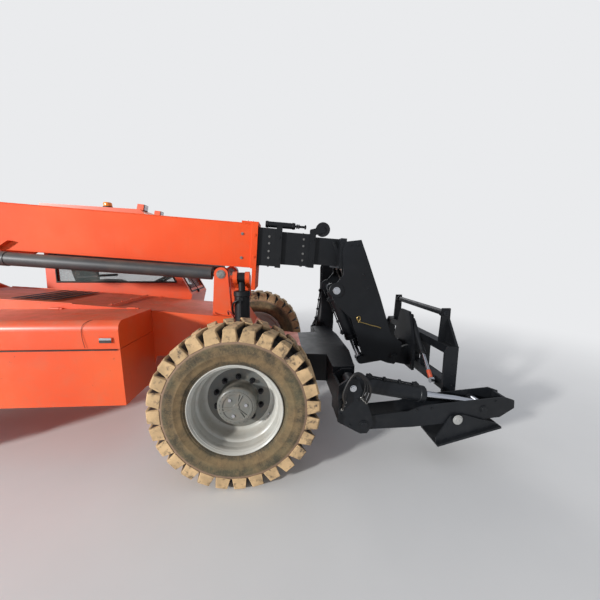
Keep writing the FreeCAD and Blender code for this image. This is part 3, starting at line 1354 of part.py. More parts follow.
def build_carriage():
    """The fork carriage without forks: a lower frame, a narrower fork shaft and slanted end gussets."""
    carriage = new_body("carriage")
    face_x, _ = at["quick_face"]
    back = face_x + s.quick_plate + s.carriage_gap
    front = back + s.carriage_depth
    _, low = at["carriage_low"]
    _, waist = at["carriage_waist"]
    _, high = at["carriage_high"]
    _, lean_z = at["lean_pivot"]
    wide = s.carriage_half
    narrow = s.carriage_top_half
    plate = s.carriage_plate
    for z_low, z_high in ((low, low + 95), (waist - 80, waist)):
        pad(carriage, "YZ", back, front, box_outline(-wide, wide, z_low, z_high))
    for side in (-1, 1):
        y_low, y_high = sorted_pair(wide - plate, wide, side)
        pad(carriage, "XZ", y_low, y_high, [(back - 30, low), (front, low), (front, waist), (back, waist),
                                            (back - 30, waist - 60)])
        y_low, y_high = sorted_pair(narrow - plate, narrow, side)
        pad(carriage, "XZ", y_low, y_high, [(back, waist - 60), (front, waist - 60), (front, high + 50),
                                            (back + 20, high + 50)])
        y_low, y_high = sorted_pair(230, 230 + plate, side)
        pad(carriage, "XZ", y_low, y_high, box_outline(back, front, low + 20, waist - 10))
        corner = [(narrow - 10, waist - 10), (wide, waist - 10), (narrow - 10, high - 40)]
        if side < 0:
            corner = [(-y, z) for y, z in reversed(corner)]
        pad(carriage, "YZ", front - plate, front, corner)
    pad(carriage, "XZ", -narrow, narrow, ((back + 55, high), s.fork_shaft_radius))
    hub = s.carriage_boss_radius
    hub_back = back - s.carriage_gap + 20 + s.seat_gap
    pad(carriage, "YZ", hub_back, front - 20, ((0, lean_z), hub))
    pad(carriage, "YZ", back, front - 20, box_outline(-70, 70, low + 40, waist - 20))
    cut(carriage, "YZ", hub_back, front, ((0, lean_z), clear(s.carriage_pin_radius)))
    _, end_z = at["lean_end"]
    middle = s.carriage_gap / 2
    pad(carriage, "YZ", back - middle + s.lean_eye_half + s.running_gap, back + 5,
        ((s.lean_end_y, end_z), s.lean_eye_radius))
    return keep(carriage)


def build_lean_cylinder():
    """The side-tilt cylinder, across the machine between the face plate and the carriage."""
    base_x, base_z = at["lean_base"]
    _, end_z = at["lean_end"]
    base_y = s.lean_base_y
    end_y = s.lean_end_y
    reach = distance(end_y - base_y, end_z - base_z)
    angle = heading(end_y - base_y, end_z - base_z)
    middle = base_x + s.quick_plate + s.carriage_gap / 2
    half = s.lean_eye_half
    axis = Vector(1, 0, 0)
    barrel = new_body("side_tilt_barrel", middle, base_y, base_z, angle, axis)
    pad(barrel, "XZ", 40, s.lean_barrel_length, ((0, 0), s.lean_barrel_radius))
    pad(barrel, "XZ", 15, 45, ((0, 0), half - 2))
    pad(barrel, "YZ", -half, half, ((0, 0), s.lean_eye_radius))
    cut(barrel, "YZ", -half, half, ((0, 0), clear(s.lean_pin_radius)))
    cut(barrel, "XZ", 60, s.lean_barrel_length, ((0, 0), clear(s.lean_rod_radius)))
    keep(barrel)
    rod = new_body("side_tilt_rod", middle, base_y, base_z, angle, axis)
    pad(rod, "XZ", 170, reach - 10, ((0, 0), s.lean_rod_radius))
    pad(rod, "YZ", -half, half, ((reach, 0), s.lean_eye_radius))
    keep(rod)


def build_cab():
    """The cab's shell with its windows cut, and the panes, door, seat and console."""
    shell = new_body("cab_shell")
    inner = s.cab_inner_y
    outer = s.cab_outer_y
    wall = s.cab_wall
    side = [at[name] for name in ("cab_toe", "cab_sill", "cab_brow", "cab_roof_front", "cab_roof_rear",
                                  "cab_heel")]
    pad(shell, "XZ", inner, outer, side)
    room = [shifted("cab_toe", -wall - 4, wall), shifted("cab_sill", -wall - 8, 0),
            shifted("cab_brow", -wall - 8, -wall), shifted("cab_roof_rear", wall, -wall - 10),
            shifted("cab_heel", wall, wall)]
    cut(shell, "XZ", inner + wall, outer - s.door_thick, room)
    cut(shell, "XZ", outer - s.door_thick, outer, door_outline(s.door_frame))
    sill_z = at["cab_sill"][1]
    brow_x, brow_z = at["cab_brow"]
    heel_x, heel_z = at["cab_heel"]
    glass_low = sill_z + 40
    glass_high = brow_z - 110
    cut(shell, "YZ", brow_x - 100, at["cab_toe"][0] + 60,
        box_outline(inner + 60, outer - 60, glass_low, glass_high))
    cut(shell, "YZ", heel_x - 10, heel_x + wall + 40,
        box_outline(inner + 70, outer - 70, glass_low + 60, glass_high))
    cut(shell, "XZ", inner, inner + wall, side_window(0))
    for height in (heel_z + 260, brow_z - 260):
        pad(shell, "XY", height, height + 60, ((heel_x + s.door_frame - 8, outer + 13), s.hinge_radius))
        pad(shell, "XY", height, height + 60, box_outline(heel_x + 20, heel_x + s.door_frame - 4,
                                                          outer - 5, outer + 8))
    add_roof_fittings(shell)
    keep(shell)
    build_panes(glass_low, glass_high)
    build_door()
    build_seat()
    build_console()


def add_roof_fittings(shell):
    """The beacon and the work lamps on the roof, and the mirror on the outer front pillar."""
    beacon_x, beacon_z = at["beacon"]
    roof_x, roof_z = at["cab_roof_front"]
    pad(shell, "XY", roof_z - 20, beacon_z, ((beacon_x, s.beacon_y), s.beacon_radius))
    for y in (s.cab_inner_y + 110, s.cab_outer_y - 110):
        pad(shell, "XZ", y - s.lamp_half, y + s.lamp_half,
            [(roof_x - 70, roof_z - 10), (roof_x + 12, roof_z - 10), (roof_x + 26, roof_z + 66),
             (roof_x - 50, roof_z + 74)])
    brow_x, brow_z = at["cab_brow"]
    mirror_x = brow_x + 330
    low = brow_z - 480
    middle = s.cab_outer_y - 30
    pad(shell, "XZ", middle - 8, middle + 8, box_outline(brow_x + 110, mirror_x + 6, low + 80, low + 100))
    pad(shell, "YZ", mirror_x, mirror_x + 14,
        box_outline(middle - s.mirror_half, middle + s.mirror_half, low, low + s.mirror_high))


def door_outline(inset):
    """The door's outline, set in from the cab's edge."""
    return [shifted("cab_toe", -inset - 6, inset), shifted("cab_sill", -inset - 14, 0),
            shifted("cab_brow", -inset - 14, -inset + 10), shifted("cab_roof_rear", inset, -inset - 20),
            shifted("cab_heel", inset, inset)]


def side_window(inset):
    """The window in the cab's side towards the boom."""
    x, sill_z = at["cab_sill"]
    rear_x, _ = at["cab_roof_rear"]
    low = sill_z + s.window_sill + inset
    return [(x - 190 - inset, low), shifted("cab_brow", -60 - inset, -130 - inset),
            shifted("cab_roof_rear", 110 + inset, -170 - inset), (rear_x + 110 + inset, low)]


def door_window(inset):
    edge = s.door_frame + s.door_bar + inset
    _, sill_z = at["cab_sill"]
    heel_x, _ = at["cab_heel"]
    low = sill_z + 70 + inset
    return [(at["cab_sill"][0] - edge - 55, low), shifted("cab_brow", -edge - 12, -edge - 10),
            shifted("cab_roof_rear", edge, -edge - 20), (heel_x + edge, low)]


def build_panes(glass_low, glass_high):
    """Windscreen, rear window and inner side window, each in its own opening."""
    panes = new_body("cab_glass")
    inner = s.cab_inner_y
    outer = s.cab_outer_y
    gap = s.seat_gap
    sill_x, sill_z = at["cab_sill"]
    brow_x, brow_z = at["cab_brow"]
    heel_x, _ = at["cab_heel"]
    run = (brow_x - sill_x) / (brow_z - sill_z)
    low = glass_low + gap
    high = glass_high - gap
    low_x = sill_x + run * (low - sill_z) - 20
    high_x = sill_x + run * (high - sill_z) - 20
    pad(panes, "XZ", inner + 60 + gap, outer - 60 - gap, [
        (low_x, low), (high_x, high), (high_x - s.glass_thick, high), (low_x - s.glass_thick, low)])
    pad(panes, "YZ", heel_x + 36, heel_x + 36 + s.glass_thick,
        box_outline(inner + 70 + gap, outer - 70 - gap, low + 60, high))
    pad(panes, "XZ", inner + 18, inner + 18 + s.glass_thick, side_window(gap))
    keep(panes)


def build_door():
    """The door in its opening, hinged at its rear edge, and its pane."""
    door = new_body("cab_door")
    outer = s.cab_outer_y
    inset = s.door_frame + s.running_gap
    pad(door, "XZ", outer - s.door_thick + 2, outer, door_outline(inset))
    cut(door, "XZ", outer - s.door_thick, outer, door_window(0))
    heel_x, heel_z = at["cab_heel"]
    _, brow_z = at["cab_brow"]
    for height in (heel_z + 200, brow_z - 320):
        pad(door, "XY", height, height + 59, ((heel_x + s.door_frame - 8, outer + 13), s.hinge_radius))
        pad(door, "XY", height, height + 59, box_outline(heel_x + s.door_frame - 6, heel_x + inset + 62,
                                                         outer + 4, outer + 14))
        pad(door, "XY", height, height + 59, box_outline(heel_x + inset + 34, heel_x + inset + 62,
                                                         outer - 2, outer + 10))
    pad(door, "XZ", outer, outer + 20, box_outline(at["cab_toe"][0] - 220, at["cab_toe"][0] - 120,
                                                   1180, 1210))
    keep(door)
    pane = new_body("door_glass")
    middle = outer - s.door_thick / 2
    pad(pane, "XZ", middle, middle + s.glass_thick, door_window(s.seat_gap))
    keep(pane)


def build_seat():
    """The seat: a pedestal, a cushion and a back."""
    seat = new_body("seat")
    heel_x, heel_z = at["cab_heel"]
    floor = heel_z + s.cab_wall
    middle = (s.cab_inner_y + s.cab_outer_y) / 2
    half = s.seat_width / 2
    rear = heel_x + 230
    pad(seat, "XZ", middle - half * 0.6, middle + half * 0.6,
        box_outline(rear + 60, rear + 400, floor, floor + 330))
    pad(seat, "XZ", middle - half, middle + half, [
        (rear + 20, floor + 300), (rear + 510, floor + 320), (rear + 510, floor + 420),
        (rear + 110, floor + 400), (rear + 20, floor + 980), (rear - 80, floor + 980)])
    keep(seat)


def build_console():
    """The dash and steering wheel."""
    console = new_body("console")
    toe_x, toe_z = at["cab_toe"]
    floor = toe_z + s.cab_wall
    middle = (s.cab_inner_y + s.cab_outer_y) / 2
    front = toe_x - s.cab_wall - 80
    pad(console, "XZ", middle - 210, middle + 210, [
        (front, floor), (front - 10, floor + 360), (front - 200, floor + 420), (front - 250, floor + 380),
        (front - 130, floor)])
    keep(console)
    wheel = new_body("steering_wheel", front - 295, middle, floor + 520, -28)
    pad(wheel, "XY", -170, 12, ((0, 0), 26))
    radius = s.wheel_rim_radius
    pad(wheel, "XY", -10, 14, ((0, 0), radius), ((0, 0), radius - 24))
    pad(wheel, "XY", -6, 8, box_outline(-radius + 10, radius - 10, -20, 20))
    join = document.addObject("Part::MultiFuse", "console_join")
    join.Shapes = [console, wheel]
    console.Label = "console_base"
    join.Label = "console"
    nodes.pop("console")
    keep(join)


def cowl_section(low, high, inset):
    """The cowl's cross-section between two heights, set in by a wall's thickness."""
    outer = s.cowl_outer_y - inset
    height = s.cowl_high - s.cowl_low
    lean_low = s.cowl_tuck * ((s.cowl_high - low) / height)
    lean_high = s.cowl_tuck * ((s.cowl_high - high) / height)
    return [(-outer + lean_low, low), (-s.frame_half, low), (-s.frame_half, high),
            (-outer + lean_high, high)]


def build_cowl():
    """The engine cowl: an open tub on the right of the frame, and the hood that closes it."""
    front = s.front_axle_x - s.cowl_front
    rear = front - s.cowl_length
    wall = s.cowl_wall
    cowl = new_body("cowl")
    split = s.cowl_split
    pad(cowl, "YZ", rear, front, cowl_section(s.cowl_low, split, 0))
    cut(cowl, "YZ", rear + wall, front - wall, inner_section(s.cowl_low + wall, split, wall))
    inboard = -s.frame_half
    under = s.cowl_high - wall - s.running_gap * 2
    pad(cowl, "YZ", rear, front, box_outline(inboard - wall, inboard, split - 5, under))
    keep(cowl)
    hood = new_body("hood")
    base = split + s.running_gap
    section = cowl_section(base, s.cowl_high, 0)
    inner = inboard - wall - s.running_gap
    shelf = s.cowl_high - wall
    edge = inboard - s.running_gap
    pad(hood, "YZ", rear, front, [section[0], (inner, base), (inner, shelf), (edge, shelf),
                                  (edge, s.cowl_high), section[3]])
    round_edges(hood, s.cowl_round, is_shoulder)
    hollow = inner_section(base, shelf, wall)
    cut(hood, "YZ", rear + wall, front - wall, [hollow[0], (inner + 1, base), (inner + 1, shelf), hollow[3]])
    side = s.cowl_outer_y - s.cowl_tuck - 12
    cut(cowl, "XZ", -s.cowl_outer_y, -side + wall, *louvres(rear, s.cowl_low + 120, split - 60))
    slots = louvres(rear, base + 50, s.cowl_high - s.cowl_round - 20)
    cut(hood, "XZ", -s.cowl_outer_y, -side + wall, *slots)
    latch = front - s.latch_inset - s.latch_length
    pad(hood, "XZ", -s.cowl_outer_y - 4, -s.cowl_outer_y + s.cowl_tuck / 2,
        box_outline(latch, latch + s.latch_length, base + 50, base + 92))
    build_hood_hinges(cowl, hood, rear, front)
    keep(hood)


def louvres(rear, low, high):
    """A row of upright air slots."""
    starts = [rear + s.louvre_rear + s.louvre_step * index for index in range(round(s.louvre_count.number))]
    return [box_outline(start, start + s.louvre_width, low, high) for start in starts]


def build_hood_hinges(cowl, hood, rear, front):
    """Three hinges along the hood's inboard edge: leaf and barrel on the hood, pin post on the cowl."""
    y = -s.frame_half - s.running_gap - 12
    z = s.cowl_high + 6
    pin = s.hinge_radius * 0.5
    under = s.cowl_high - s.cowl_wall - s.running_gap * 2 - 5
    for share in (0.12, 0.5, 0.88):
        x = rear + (front - rear) * share
        post = x + 80 + s.running_gap
        notch = box_outline(y - s.hinge_radius - 8, y + 30, s.cowl_high - s.cowl_wall, z + 20)
        pad(hood, "YZ", x, x + 80, ((y, z), s.hinge_radius))
        cut(hood, "YZ", x, x + 80, ((y, z), clear(pin)))
        cut(hood, "YZ", x + 80, post + 20 + s.running_gap, notch)
        pad(cowl, "YZ", post, post + 20, [(y - s.hinge_radius, under), (y + s.hinge_radius, under),
                                          (y + s.hinge_radius, z), (y - s.hinge_radius, z)])
        pad(cowl, "YZ", x + 2, post + 20, ((y, z), pin))


def is_shoulder(start, end):
    """True for the hood's long upper outer edge."""
    top = s.cowl_high.number - 1
    outside = -s.frame_half.number - 50
    long_enough = abs(start.x - end.x) > 500
    return long_enough and start.z > top and end.z > top and start.y < outside


def inner_section(low, high, inset):
    section = cowl_section(low, high, inset)
    inboard = -s.frame_half - inset
    return [section[0], (inboard, low), (inboard, high), section[3]]


def build_engine():
    """The engine, one plain block on the cowl's floor."""
    engine = new_body("engine_block")
    middle = s.front_axle_x - s.cowl_front - s.cowl_length / 2
    inner = -s.frame_half - 80
    floor = s.cowl_low + s.cowl_wall
    half = s.engine_length / 2
    pad(engine, "YZ", middle - half, middle + half, [
        (inner - s.engine_width, floor), (inner, floor), (inner, floor + s.engine_height),
        (inner - s.engine_width, floor + s.engine_height)])
    keep(engine)


def build_tank():
    """The tank under the cab, with two steps on its outer side."""
    tank = new_body("tank")
    toe_x, toe_z = at["cab_toe"]
    heel_x, _ = at["cab_heel"]
    outer = s.tank_outer_y
    pad(tank, "XZ", s.frame_half, outer, box_outline(heel_x, toe_x - 60, s.tank_low, toe_z))
    round_edges(tank, s.tank_round, is_tank_edge)
    step_front = toe_x - 330
    step_rear = step_front - 520
    for height in (s.tank_low + 20, s.tank_low + 250):
        pad(tank, "XY", height, height + 25, box_outline(step_rear, step_front, outer - 20, outer + 150))
    for edge in (step_rear, step_front - 12):
        pad(tank, "XZ", outer - 20, outer + 140, box_outline(edge, edge + 12, s.tank_low + 20,
                                                             s.tank_low + 275))
    keep(tank)


def is_tank_edge(start, end):
    """True for the tank's lower long edge on its outer side."""
    low = s.tank_low.number + 1
    return abs(start.x - end.x) > 500 and start.z < low and start.y > s.frame_half.number + 50


def build_counterweight():
    """The cast counterweight across the rear, with a hitch below it."""
    weight = new_body("counterweight")
    rear_axle, _ = at["rear_axle"]
    front = rear_axle - s.frame_tail
    rear = front - s.weight_depth
    pad(weight, "XY", s.weight_low, s.weight_high, [
        (front, -s.weight_half), (front, s.weight_half), (rear + 60, s.weight_half),
        (rear, s.weight_half - 160), (rear, -s.weight_half + 160), (rear + 60, -s.weight_half)])
    jaw_rear = front - s.hitch_reach - 55
    jaw_low = s.weight_low - 100
    for low, high in ((-85, -60), (60, 85)):
        pad(weight, "XZ", low, high, box_outline(jaw_rear, front - 20, jaw_low, s.weight_low + 2))
    pad(weight, "XY", jaw_low, jaw_low + 25, box_outline(jaw_rear, front - 20, -85, 85))
    cut(weight, "XY", jaw_low, jaw_low + 25, ((front - s.hitch_reach, 0), s.hitch_radius))
    middle = front - s.weight_depth / 2
    bore_z = s.weight_low - s.tie_down_drop
    for side in (-1, 1):
        low, high = sorted_pair(s.tie_down_y, s.tie_down_y + s.tie_down_plate, side)
        pad(weight, "XZ", low, high, [(middle - 30, bore_z - 50), (middle + 30, bore_z - 50),
                                      (middle + 75, s.weight_low + 2), (middle - 75, s.weight_low + 2)])
        cut(weight, "XZ", low, high, ((middle, bore_z), s.tie_down_radius))
    return keep(weight)


def check_document():
    document.recompute()
    for item in document.Objects:
        if "Invalid" in item.State or "Error" in item.State:
            raise RuntimeError(f"{item.Label} failed: {item.State}")
    for label, node in nodes.items():
        if node.Shape.isNull() or not node.Shape.isValid() or not node.Shape.Solids:
            raise RuntimeError(f"{label} has no valid solid")


def write_parts():
    os.makedirs(PARTS_FOLDER, exist_ok=True)
    for label, node in nodes.items():
        node.Shape.exportStep(os.path.join(PARTS_FOLDER, label + ".step"))


def build_wheels():
    for end, axle in (("front", "front_axle"), ("rear", "rear_axle")):
        arm_side = 1 if end == "front" else -1
        build_axle(f"{end}_axle", axle, -arm_side)
        for kind, builder in (("tyre", build_tyre), ("rim", build_rim)):
            right = builder(f"{kind}_{end}_right", axle)
            keep(mirrored(f"{kind}_{end}_left", right))
        right = build_knuckle(f"knuckle_{end}_right", axle, arm_side)
        keep(mirrored(f"knuckle_{end}_left", right))


def build_outriggers():
    none = as_size(0)
    build_leg("outrigger_leg_right", None, none)
    build_foot("outrigger_foot_right", None, none)
    build_leg_cylinder("right", False, none)
    build_leg("outrigger_leg_left", "outrigger_leg_left", s.leg_fold)
    build_foot("outrigger_foot_left", "outrigger_foot_left", s.leg_fold)
    build_leg_cylinder("left", True, s.leg_fold)


fill_sheet()
build_frame()
build_crossmember()
build_counterweight()
build_tank()
build_sway_cylinder()
build_engine()
build_cowl()
build_cab()
build_wheels()
build_boom()
build_lift_cylinders()
build_gooseneck()
build_tilt_cylinder()
build_quick_attach()
build_carriage()
build_lean_cylinder()
build_outriggers()
check_document()
write_parts()
print(len(nodes), "nodes")
for node_label, node_object in nodes.items():
    print(node_label, len(node_object.Shape.Solids), round(node_object.Shape.Volume / 1e6, 2))
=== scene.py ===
"""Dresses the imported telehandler: materials, tyres, rims, seat, hoses, lamps and small fittings."""
import json
import math

import bmesh
import bpy
from mathutils import Matrix, Vector


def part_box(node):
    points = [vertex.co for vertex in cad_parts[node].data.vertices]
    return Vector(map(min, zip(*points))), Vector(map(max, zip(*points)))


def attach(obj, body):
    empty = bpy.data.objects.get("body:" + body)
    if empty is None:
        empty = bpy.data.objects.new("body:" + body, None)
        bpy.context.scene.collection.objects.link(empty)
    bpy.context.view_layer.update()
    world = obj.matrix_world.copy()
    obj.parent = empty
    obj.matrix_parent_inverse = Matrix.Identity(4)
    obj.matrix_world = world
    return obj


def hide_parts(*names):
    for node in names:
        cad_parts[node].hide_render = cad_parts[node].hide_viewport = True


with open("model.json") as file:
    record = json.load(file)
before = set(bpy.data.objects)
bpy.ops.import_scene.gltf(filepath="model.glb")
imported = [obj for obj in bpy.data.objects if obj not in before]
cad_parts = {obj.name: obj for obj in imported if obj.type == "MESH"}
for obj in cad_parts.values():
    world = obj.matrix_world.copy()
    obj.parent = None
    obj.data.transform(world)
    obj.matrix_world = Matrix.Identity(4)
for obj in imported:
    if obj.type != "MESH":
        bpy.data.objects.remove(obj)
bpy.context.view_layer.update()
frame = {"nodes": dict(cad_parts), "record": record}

# Places in metres, in the frame's coordinates: +X forward, +Y left, +Z up; pairs are (x, z).
X, Y, Z = (Vector(row) for row in Matrix.Identity(3))
SIDES = (("right", -1), ("left", 1))
FRONT = 1.0989
REAR = -2.4611
ENDS = (("front", FRONT), ("rear", REAR))
AXLE_Z = 0.640
WHEEL_Y = 1.050
PIVOT = (-3.0511, 2.165)
LIFT_EYE = (-1.5011, 1.760)
TILT_BASE = (2.0147, 1.4333)
QUICK = (2.7077, 0.6613)
SHAFT = (3.0567, 1.2363)
LEG_PIVOT = (2.1189, 0.400)
LEG_BARREL = (2.0189, 0.720)
LEG_Y = 0.930
LEVELLER = (1.0689, -0.5, 0)
DROOP = math.radians(3.8)
LEG_RISE = math.radians(4.7)
LEG_FOLD = math.radians(85.3)
BOOM_WAY = Vector((math.cos(DROOP), 0, -math.sin(DROOP)))
BOOM_UP = Vector((math.sin(DROOP), 0, math.cos(DROOP)))


def boom(along, y, above):
    """A point along and above the boom's middle line."""
    return Vector((PIVOT[0], y, PIVOT[1])) + BOOM_WAY * along + BOOM_UP * above


def on_leg(side, along, y, above):
    """A point in a leg's own frame: side -1 is the lowered right leg, +1 the folded left one."""
    angle = LEG_RISE if side < 0 else LEG_RISE + LEG_FOLD
    c, s = math.cos(angle), math.sin(angle)
    return Vector((LEG_PIVOT[0] + along * c - above * s, side * LEG_Y + y, LEG_PIVOT[1] + along * s + above * c))


def turns(count, offset=0.0):
    """Equal steps of one full turn, in radians."""
    return [2 * math.pi * (index + offset) / count for index in range(count)]


def spoke(radius, turn, y):
    """A point round the Y axis, from +Z towards +X."""
    return Vector((radius * math.sin(turn), y, radius * math.cos(turn)))


def ways(axis, count, first=None):
    """Directions round an axis, from the first one on."""
    first = axis.orthogonal().normalized() if first is None else first
    second = axis.cross(first)
    return [first * math.cos(turn) + second * math.sin(turn) for turn in turns(count)]


def pairs(points):
    """Each point with the next, and the last with the first."""
    return zip(points, points[1:] + points[:1])


# Materials

class Nodes:
    """The node tree of a material or world, with the few nodes that they share."""

    def __init__(self, owner):
        owner.use_nodes = True
        self.owner = owner
        self.tree = owner.node_tree
        self.tree.nodes.clear()
        self.place = self.add("TexCoord").outputs["Object"]

    def add(self, kind, inputs=(), **settings):
        """A node with its settings and its inputs, each a value or another node's output."""
        node = self.tree.nodes.new(f"ShaderNode{kind}")
        for key, value in settings.items():
            setattr(node, key, value)
        for key, value in dict(inputs).items():
            if isinstance(value, bpy.types.NodeSocket):
                self.tree.links.new(value, node.inputs[key])
            else:
                node.inputs[key].default_value = value
        return node

    def noise(self, scale, detail=4.0, roughness=0.55, place=None):
        inputs = {"Vector": place or self.place, "Scale": scale, "Detail": detail, "Roughness": roughness}
        return self.add("TexNoise", inputs).outputs["Fac"]

    def ramp(self, value, low, high, to_low=0.0, to_high=1.0):
        inputs = {"Value": value, "From Min": low, "From Max": high, "To Min": to_low, "To Max": to_high}
        return self.add("MapRange", inputs, interpolation_type="SMOOTHSTEP").outputs["Result"]

    def sums(self, kind, first, second=0.5):
        return self.add("Math", {0: first, 1: second}, operation=kind).outputs[0]

    def times(self, value, *factors):
        for factor in factors:
            value = self.sums("MULTIPLY", value, factor)
        return value

    def blend(self, first, share, second, other_share):
        return self.sums("ADD", self.times(first, share), self.times(second, other_share))

    def part(self, axis, vector=None):
        return self.add("SeparateXYZ", {0: vector or self.place}).outputs[axis]

    def reach(self, first, second):
        """The distance from the object's middle across two axes."""
        squares = [self.sums("POWER", self.part(axis), 2.0) for axis in (first, second)]
        return self.sums("SQRT", self.sums("ADD", *squares))

    def mix(self, factor, first, second):
        """Mixes two colours; each is a tuple or a colour output."""
        return self.add("Mix", {0: factor, 6: first, 7: second}, data_type="RGBA").outputs[2]

    def surface(self, colour, roughness, height, bump=0.2, distance=0.002, **fixed):
        """The finished material: bump comes from a height, and the rest are values of the shader."""
        inputs = {key.replace("_", " "): value for key, value in fixed.items()}
        inputs.update({"Base Color": colour, "Roughness": roughness})
        if height is not None:
            relief = self.add("Bump", {"Height": height, "Strength": bump, "Distance": distance})
            inputs["Normal"] = relief.outputs["Normal"]
        self.add("OutputMaterial", {"Surface": self.add("BsdfPrincipled", inputs).outputs["BSDF"]})
        return self.owner


def rgb(red, green, blue):
    """A colour as seen, 0 to 255, in the linear values that the shader takes."""
    def linear(value):
        value /= 255
        return value / 12.92 if value <= 0.04045 else ((value + 0.055) / 1.055) ** 2.4
    return (linear(red), linear(green), linear(blue), 1.0)


def scaled(colour, share):
    return tuple(min(1.0, channel * share) for channel in colour[:3]) + (1.0,)


DUST = rgb(150, 128, 104)
SOOT = rgb(52, 52, 52)
PRIMER = rgb(62, 48, 40)
BACKDROP = rgb(234, 235, 237)


def paint(nodes, colour, faded, dust=0.35, rough=0.42, chips=0.0, mud=0.0, gloss=0.15, soil=DUST,
          shine=0.5):
    """Weathered paint: broad fading, dust that settles on top faces, mud low down, small chips."""
    blotch = nodes.noise(7.0, 6.0, 0.62)
    shade = nodes.mix(nodes.ramp(nodes.noise(0.9, 3.0), 0.35, 0.68), colour, faded)
    streaks = nodes.add("Mapping", {"Vector": nodes.place, "Scale": (9.0, 9.0, 0.9)}).outputs["Vector"]
    runs = nodes.ramp(nodes.noise(2.4, 5.0, place=streaks), 0.56, 0.80, 0.0, 0.16)
    shade = nodes.mix(runs, shade, scaled(colour, 0.70))
    upward = nodes.ramp(nodes.part("Z", nodes.add("NewGeometry").outputs["Normal"]), 0.25, 0.95)
    settled = nodes.times(nodes.ramp(blotch, 0.30, 0.72, 0.25, 1.0), upward, dust)
    haze = nodes.times(nodes.ramp(blotch, 0.42, 0.80), dust * 0.32)
    cover = nodes.sums("MAXIMUM", settled, haze)
    if mud > 0:
        low = nodes.ramp(nodes.part("Z"), 0.95, 0.35)
        splash = nodes.ramp(nodes.noise(16.0, 8.0, 0.7), 0.42, 0.74)
        cover = nodes.sums("MAXIMUM", cover, nodes.times(low, splash, mud))
    shade = nodes.mix(cover, shade, soil)
    if chips > 0:
        spots = nodes.ramp(nodes.noise(38.0, 3.0, 0.5), 0.70, 0.735)
        area = nodes.ramp(nodes.noise(2.1, 2.0), 0.50, 0.62)
        shade = nodes.mix(nodes.times(spots, area, chips), shade, PRIMER)
    relief = nodes.blend(blotch, 1.2, nodes.noise(260.0, 2.0), 0.5)
    return nodes.surface(shade, nodes.ramp(cover, 0.0, 0.7, rough, 0.86), relief, 0.12, 0.0015,
                         Coat_Weight=gloss, Coat_Roughness=0.25, Specular_IOR_Level=shine)


def worn_metal(nodes, colour, rough=0.22, stain=0.25):
    """Bare or plated metal with fine turning marks and a little grime."""
    grime = nodes.ramp(nodes.noise(14.0, 6.0, 0.6), 0.52, 0.78, 0.0, stain)
    roughness = nodes.ramp(nodes.noise(30.0, 4.0), 0.3, 0.7, rough * 0.8, rough * 1.6)
    return nodes.surface(nodes.mix(grime, colour, rgb(84, 74, 62)), roughness, nodes.noise(420.0, 2.0),
                         0.05, 0.0005, Metallic=1.0)


def rubber(nodes, colour, mud_colour, amount, scale):
    """Rubber under dried mud: amount is how much of it the mud covers."""
    patches = nodes.noise(scale, 8.0, 0.66)
    both = nodes.blend(patches, 0.62, nodes.noise(3.2, 3.0), 0.38)
    cover = nodes.ramp(both, 0.60 - 0.30 * amount, 0.68 - 0.20 * amount)
    # Mud only on the lug tops (reach above 0.606) and their outer faces; lower down the rubber stays dark as painted
    # shade between the lugs.
    edge = nodes.ramp(nodes.sums("ABSOLUTE", nodes.part("Y")), 0.166, 0.176)
    mud_outside_painted_gap_shade = nodes.sums("MAXIMUM", nodes.ramp(nodes.reach("X", "Z"), 0.606, 0.628), edge)
    cover = nodes.times(cover, 0.35 + 0.62 * amount, mud_outside_painted_gap_shade)
    tone = nodes.mix(nodes.ramp(nodes.noise(9.0, 5.0), 0.3, 0.7), mud_colour, scaled(mud_colour, 0.66))
    return nodes.surface(nodes.mix(cover, colour, tone), nodes.ramp(cover, 0.0, 1.0, 0.62, 0.95),
                         nodes.blend(cover, 0.8, patches, 0.6), 0.35, 0.003)


def sidewall(nodes):
    """A tyre's side: brown-grey rubber, dark by the rim, with lighter rings of dried mud and a dark ring of painted
    shade at the crown between the lugs.
    """
    reach = nodes.reach("X", "Z")
    mixed = nodes.blend(nodes.noise(11.0, 8.0, 0.68), 0.7, nodes.noise(90.0, 5.0, 0.7), 0.3)
    brown = nodes.mix(nodes.ramp(mixed, 0.36, 0.64), rgb(58, 54, 44), rgb(124, 104, 74))
    bead = nodes.ramp(reach, 0.36, 0.385, 1.0, 0.0)
    inner = nodes.times(nodes.ramp(reach, 0.375, 0.405), nodes.ramp(reach, 0.468, 0.43))
    shoulder = nodes.times(nodes.ramp(reach, 0.508, 0.524), nodes.ramp(reach, 0.562, 0.552))
    # The last ring, dark rubber beyond reach 0.552, is painted shade in the gaps between the lugs; the lighter rings
    # are dried mud.
    for area, share, tone in ((nodes.ramp(nodes.noise(3.5, 3.0), 0.42, 0.62), 0.4, (88, 88, 66)),
                              (bead, 0.5, (60, 54, 46)), (inner, 0.26, (142, 114, 76)),
                              (shoulder, 0.75, (148, 121, 100)),
                              (nodes.ramp(reach, 0.552, 0.562), 0.92, (38, 35, 32))):
        brown = nodes.mix(nodes.times(area, share), brown, rgb(*tone))
    return nodes.surface(brown, 0.88, mixed, 0.4, 0.004)


def glass(nodes, tint, alpha):
    smear = nodes.ramp(nodes.noise(5.0, 6.0), 0.45, 0.8)
    return nodes.surface(nodes.mix(smear, tint, rgb(176, 172, 160)), nodes.ramp(smear, 0.0, 1.0, 0.04, 0.28),
                         None, Alpha=alpha, IOR=1.45)


def moulded(nodes, colour, rough=0.6, scale=320.0, dust=0.3):
    """Moulded plastic or coated fabric with a fine grain."""
    grain = nodes.add("TexVoronoi", {"Vector": nodes.place, "Scale": scale}).outputs["Distance"]
    dusty = nodes.ramp(nodes.noise(8.0, 6.0), 0.45, 0.75, 0.0, dust)
    return nodes.surface(nodes.mix(dusty, colour, DUST), nodes.ramp(dusty, 0.0, 0.3, rough, 0.85), grain,
                         0.25, 0.0008)


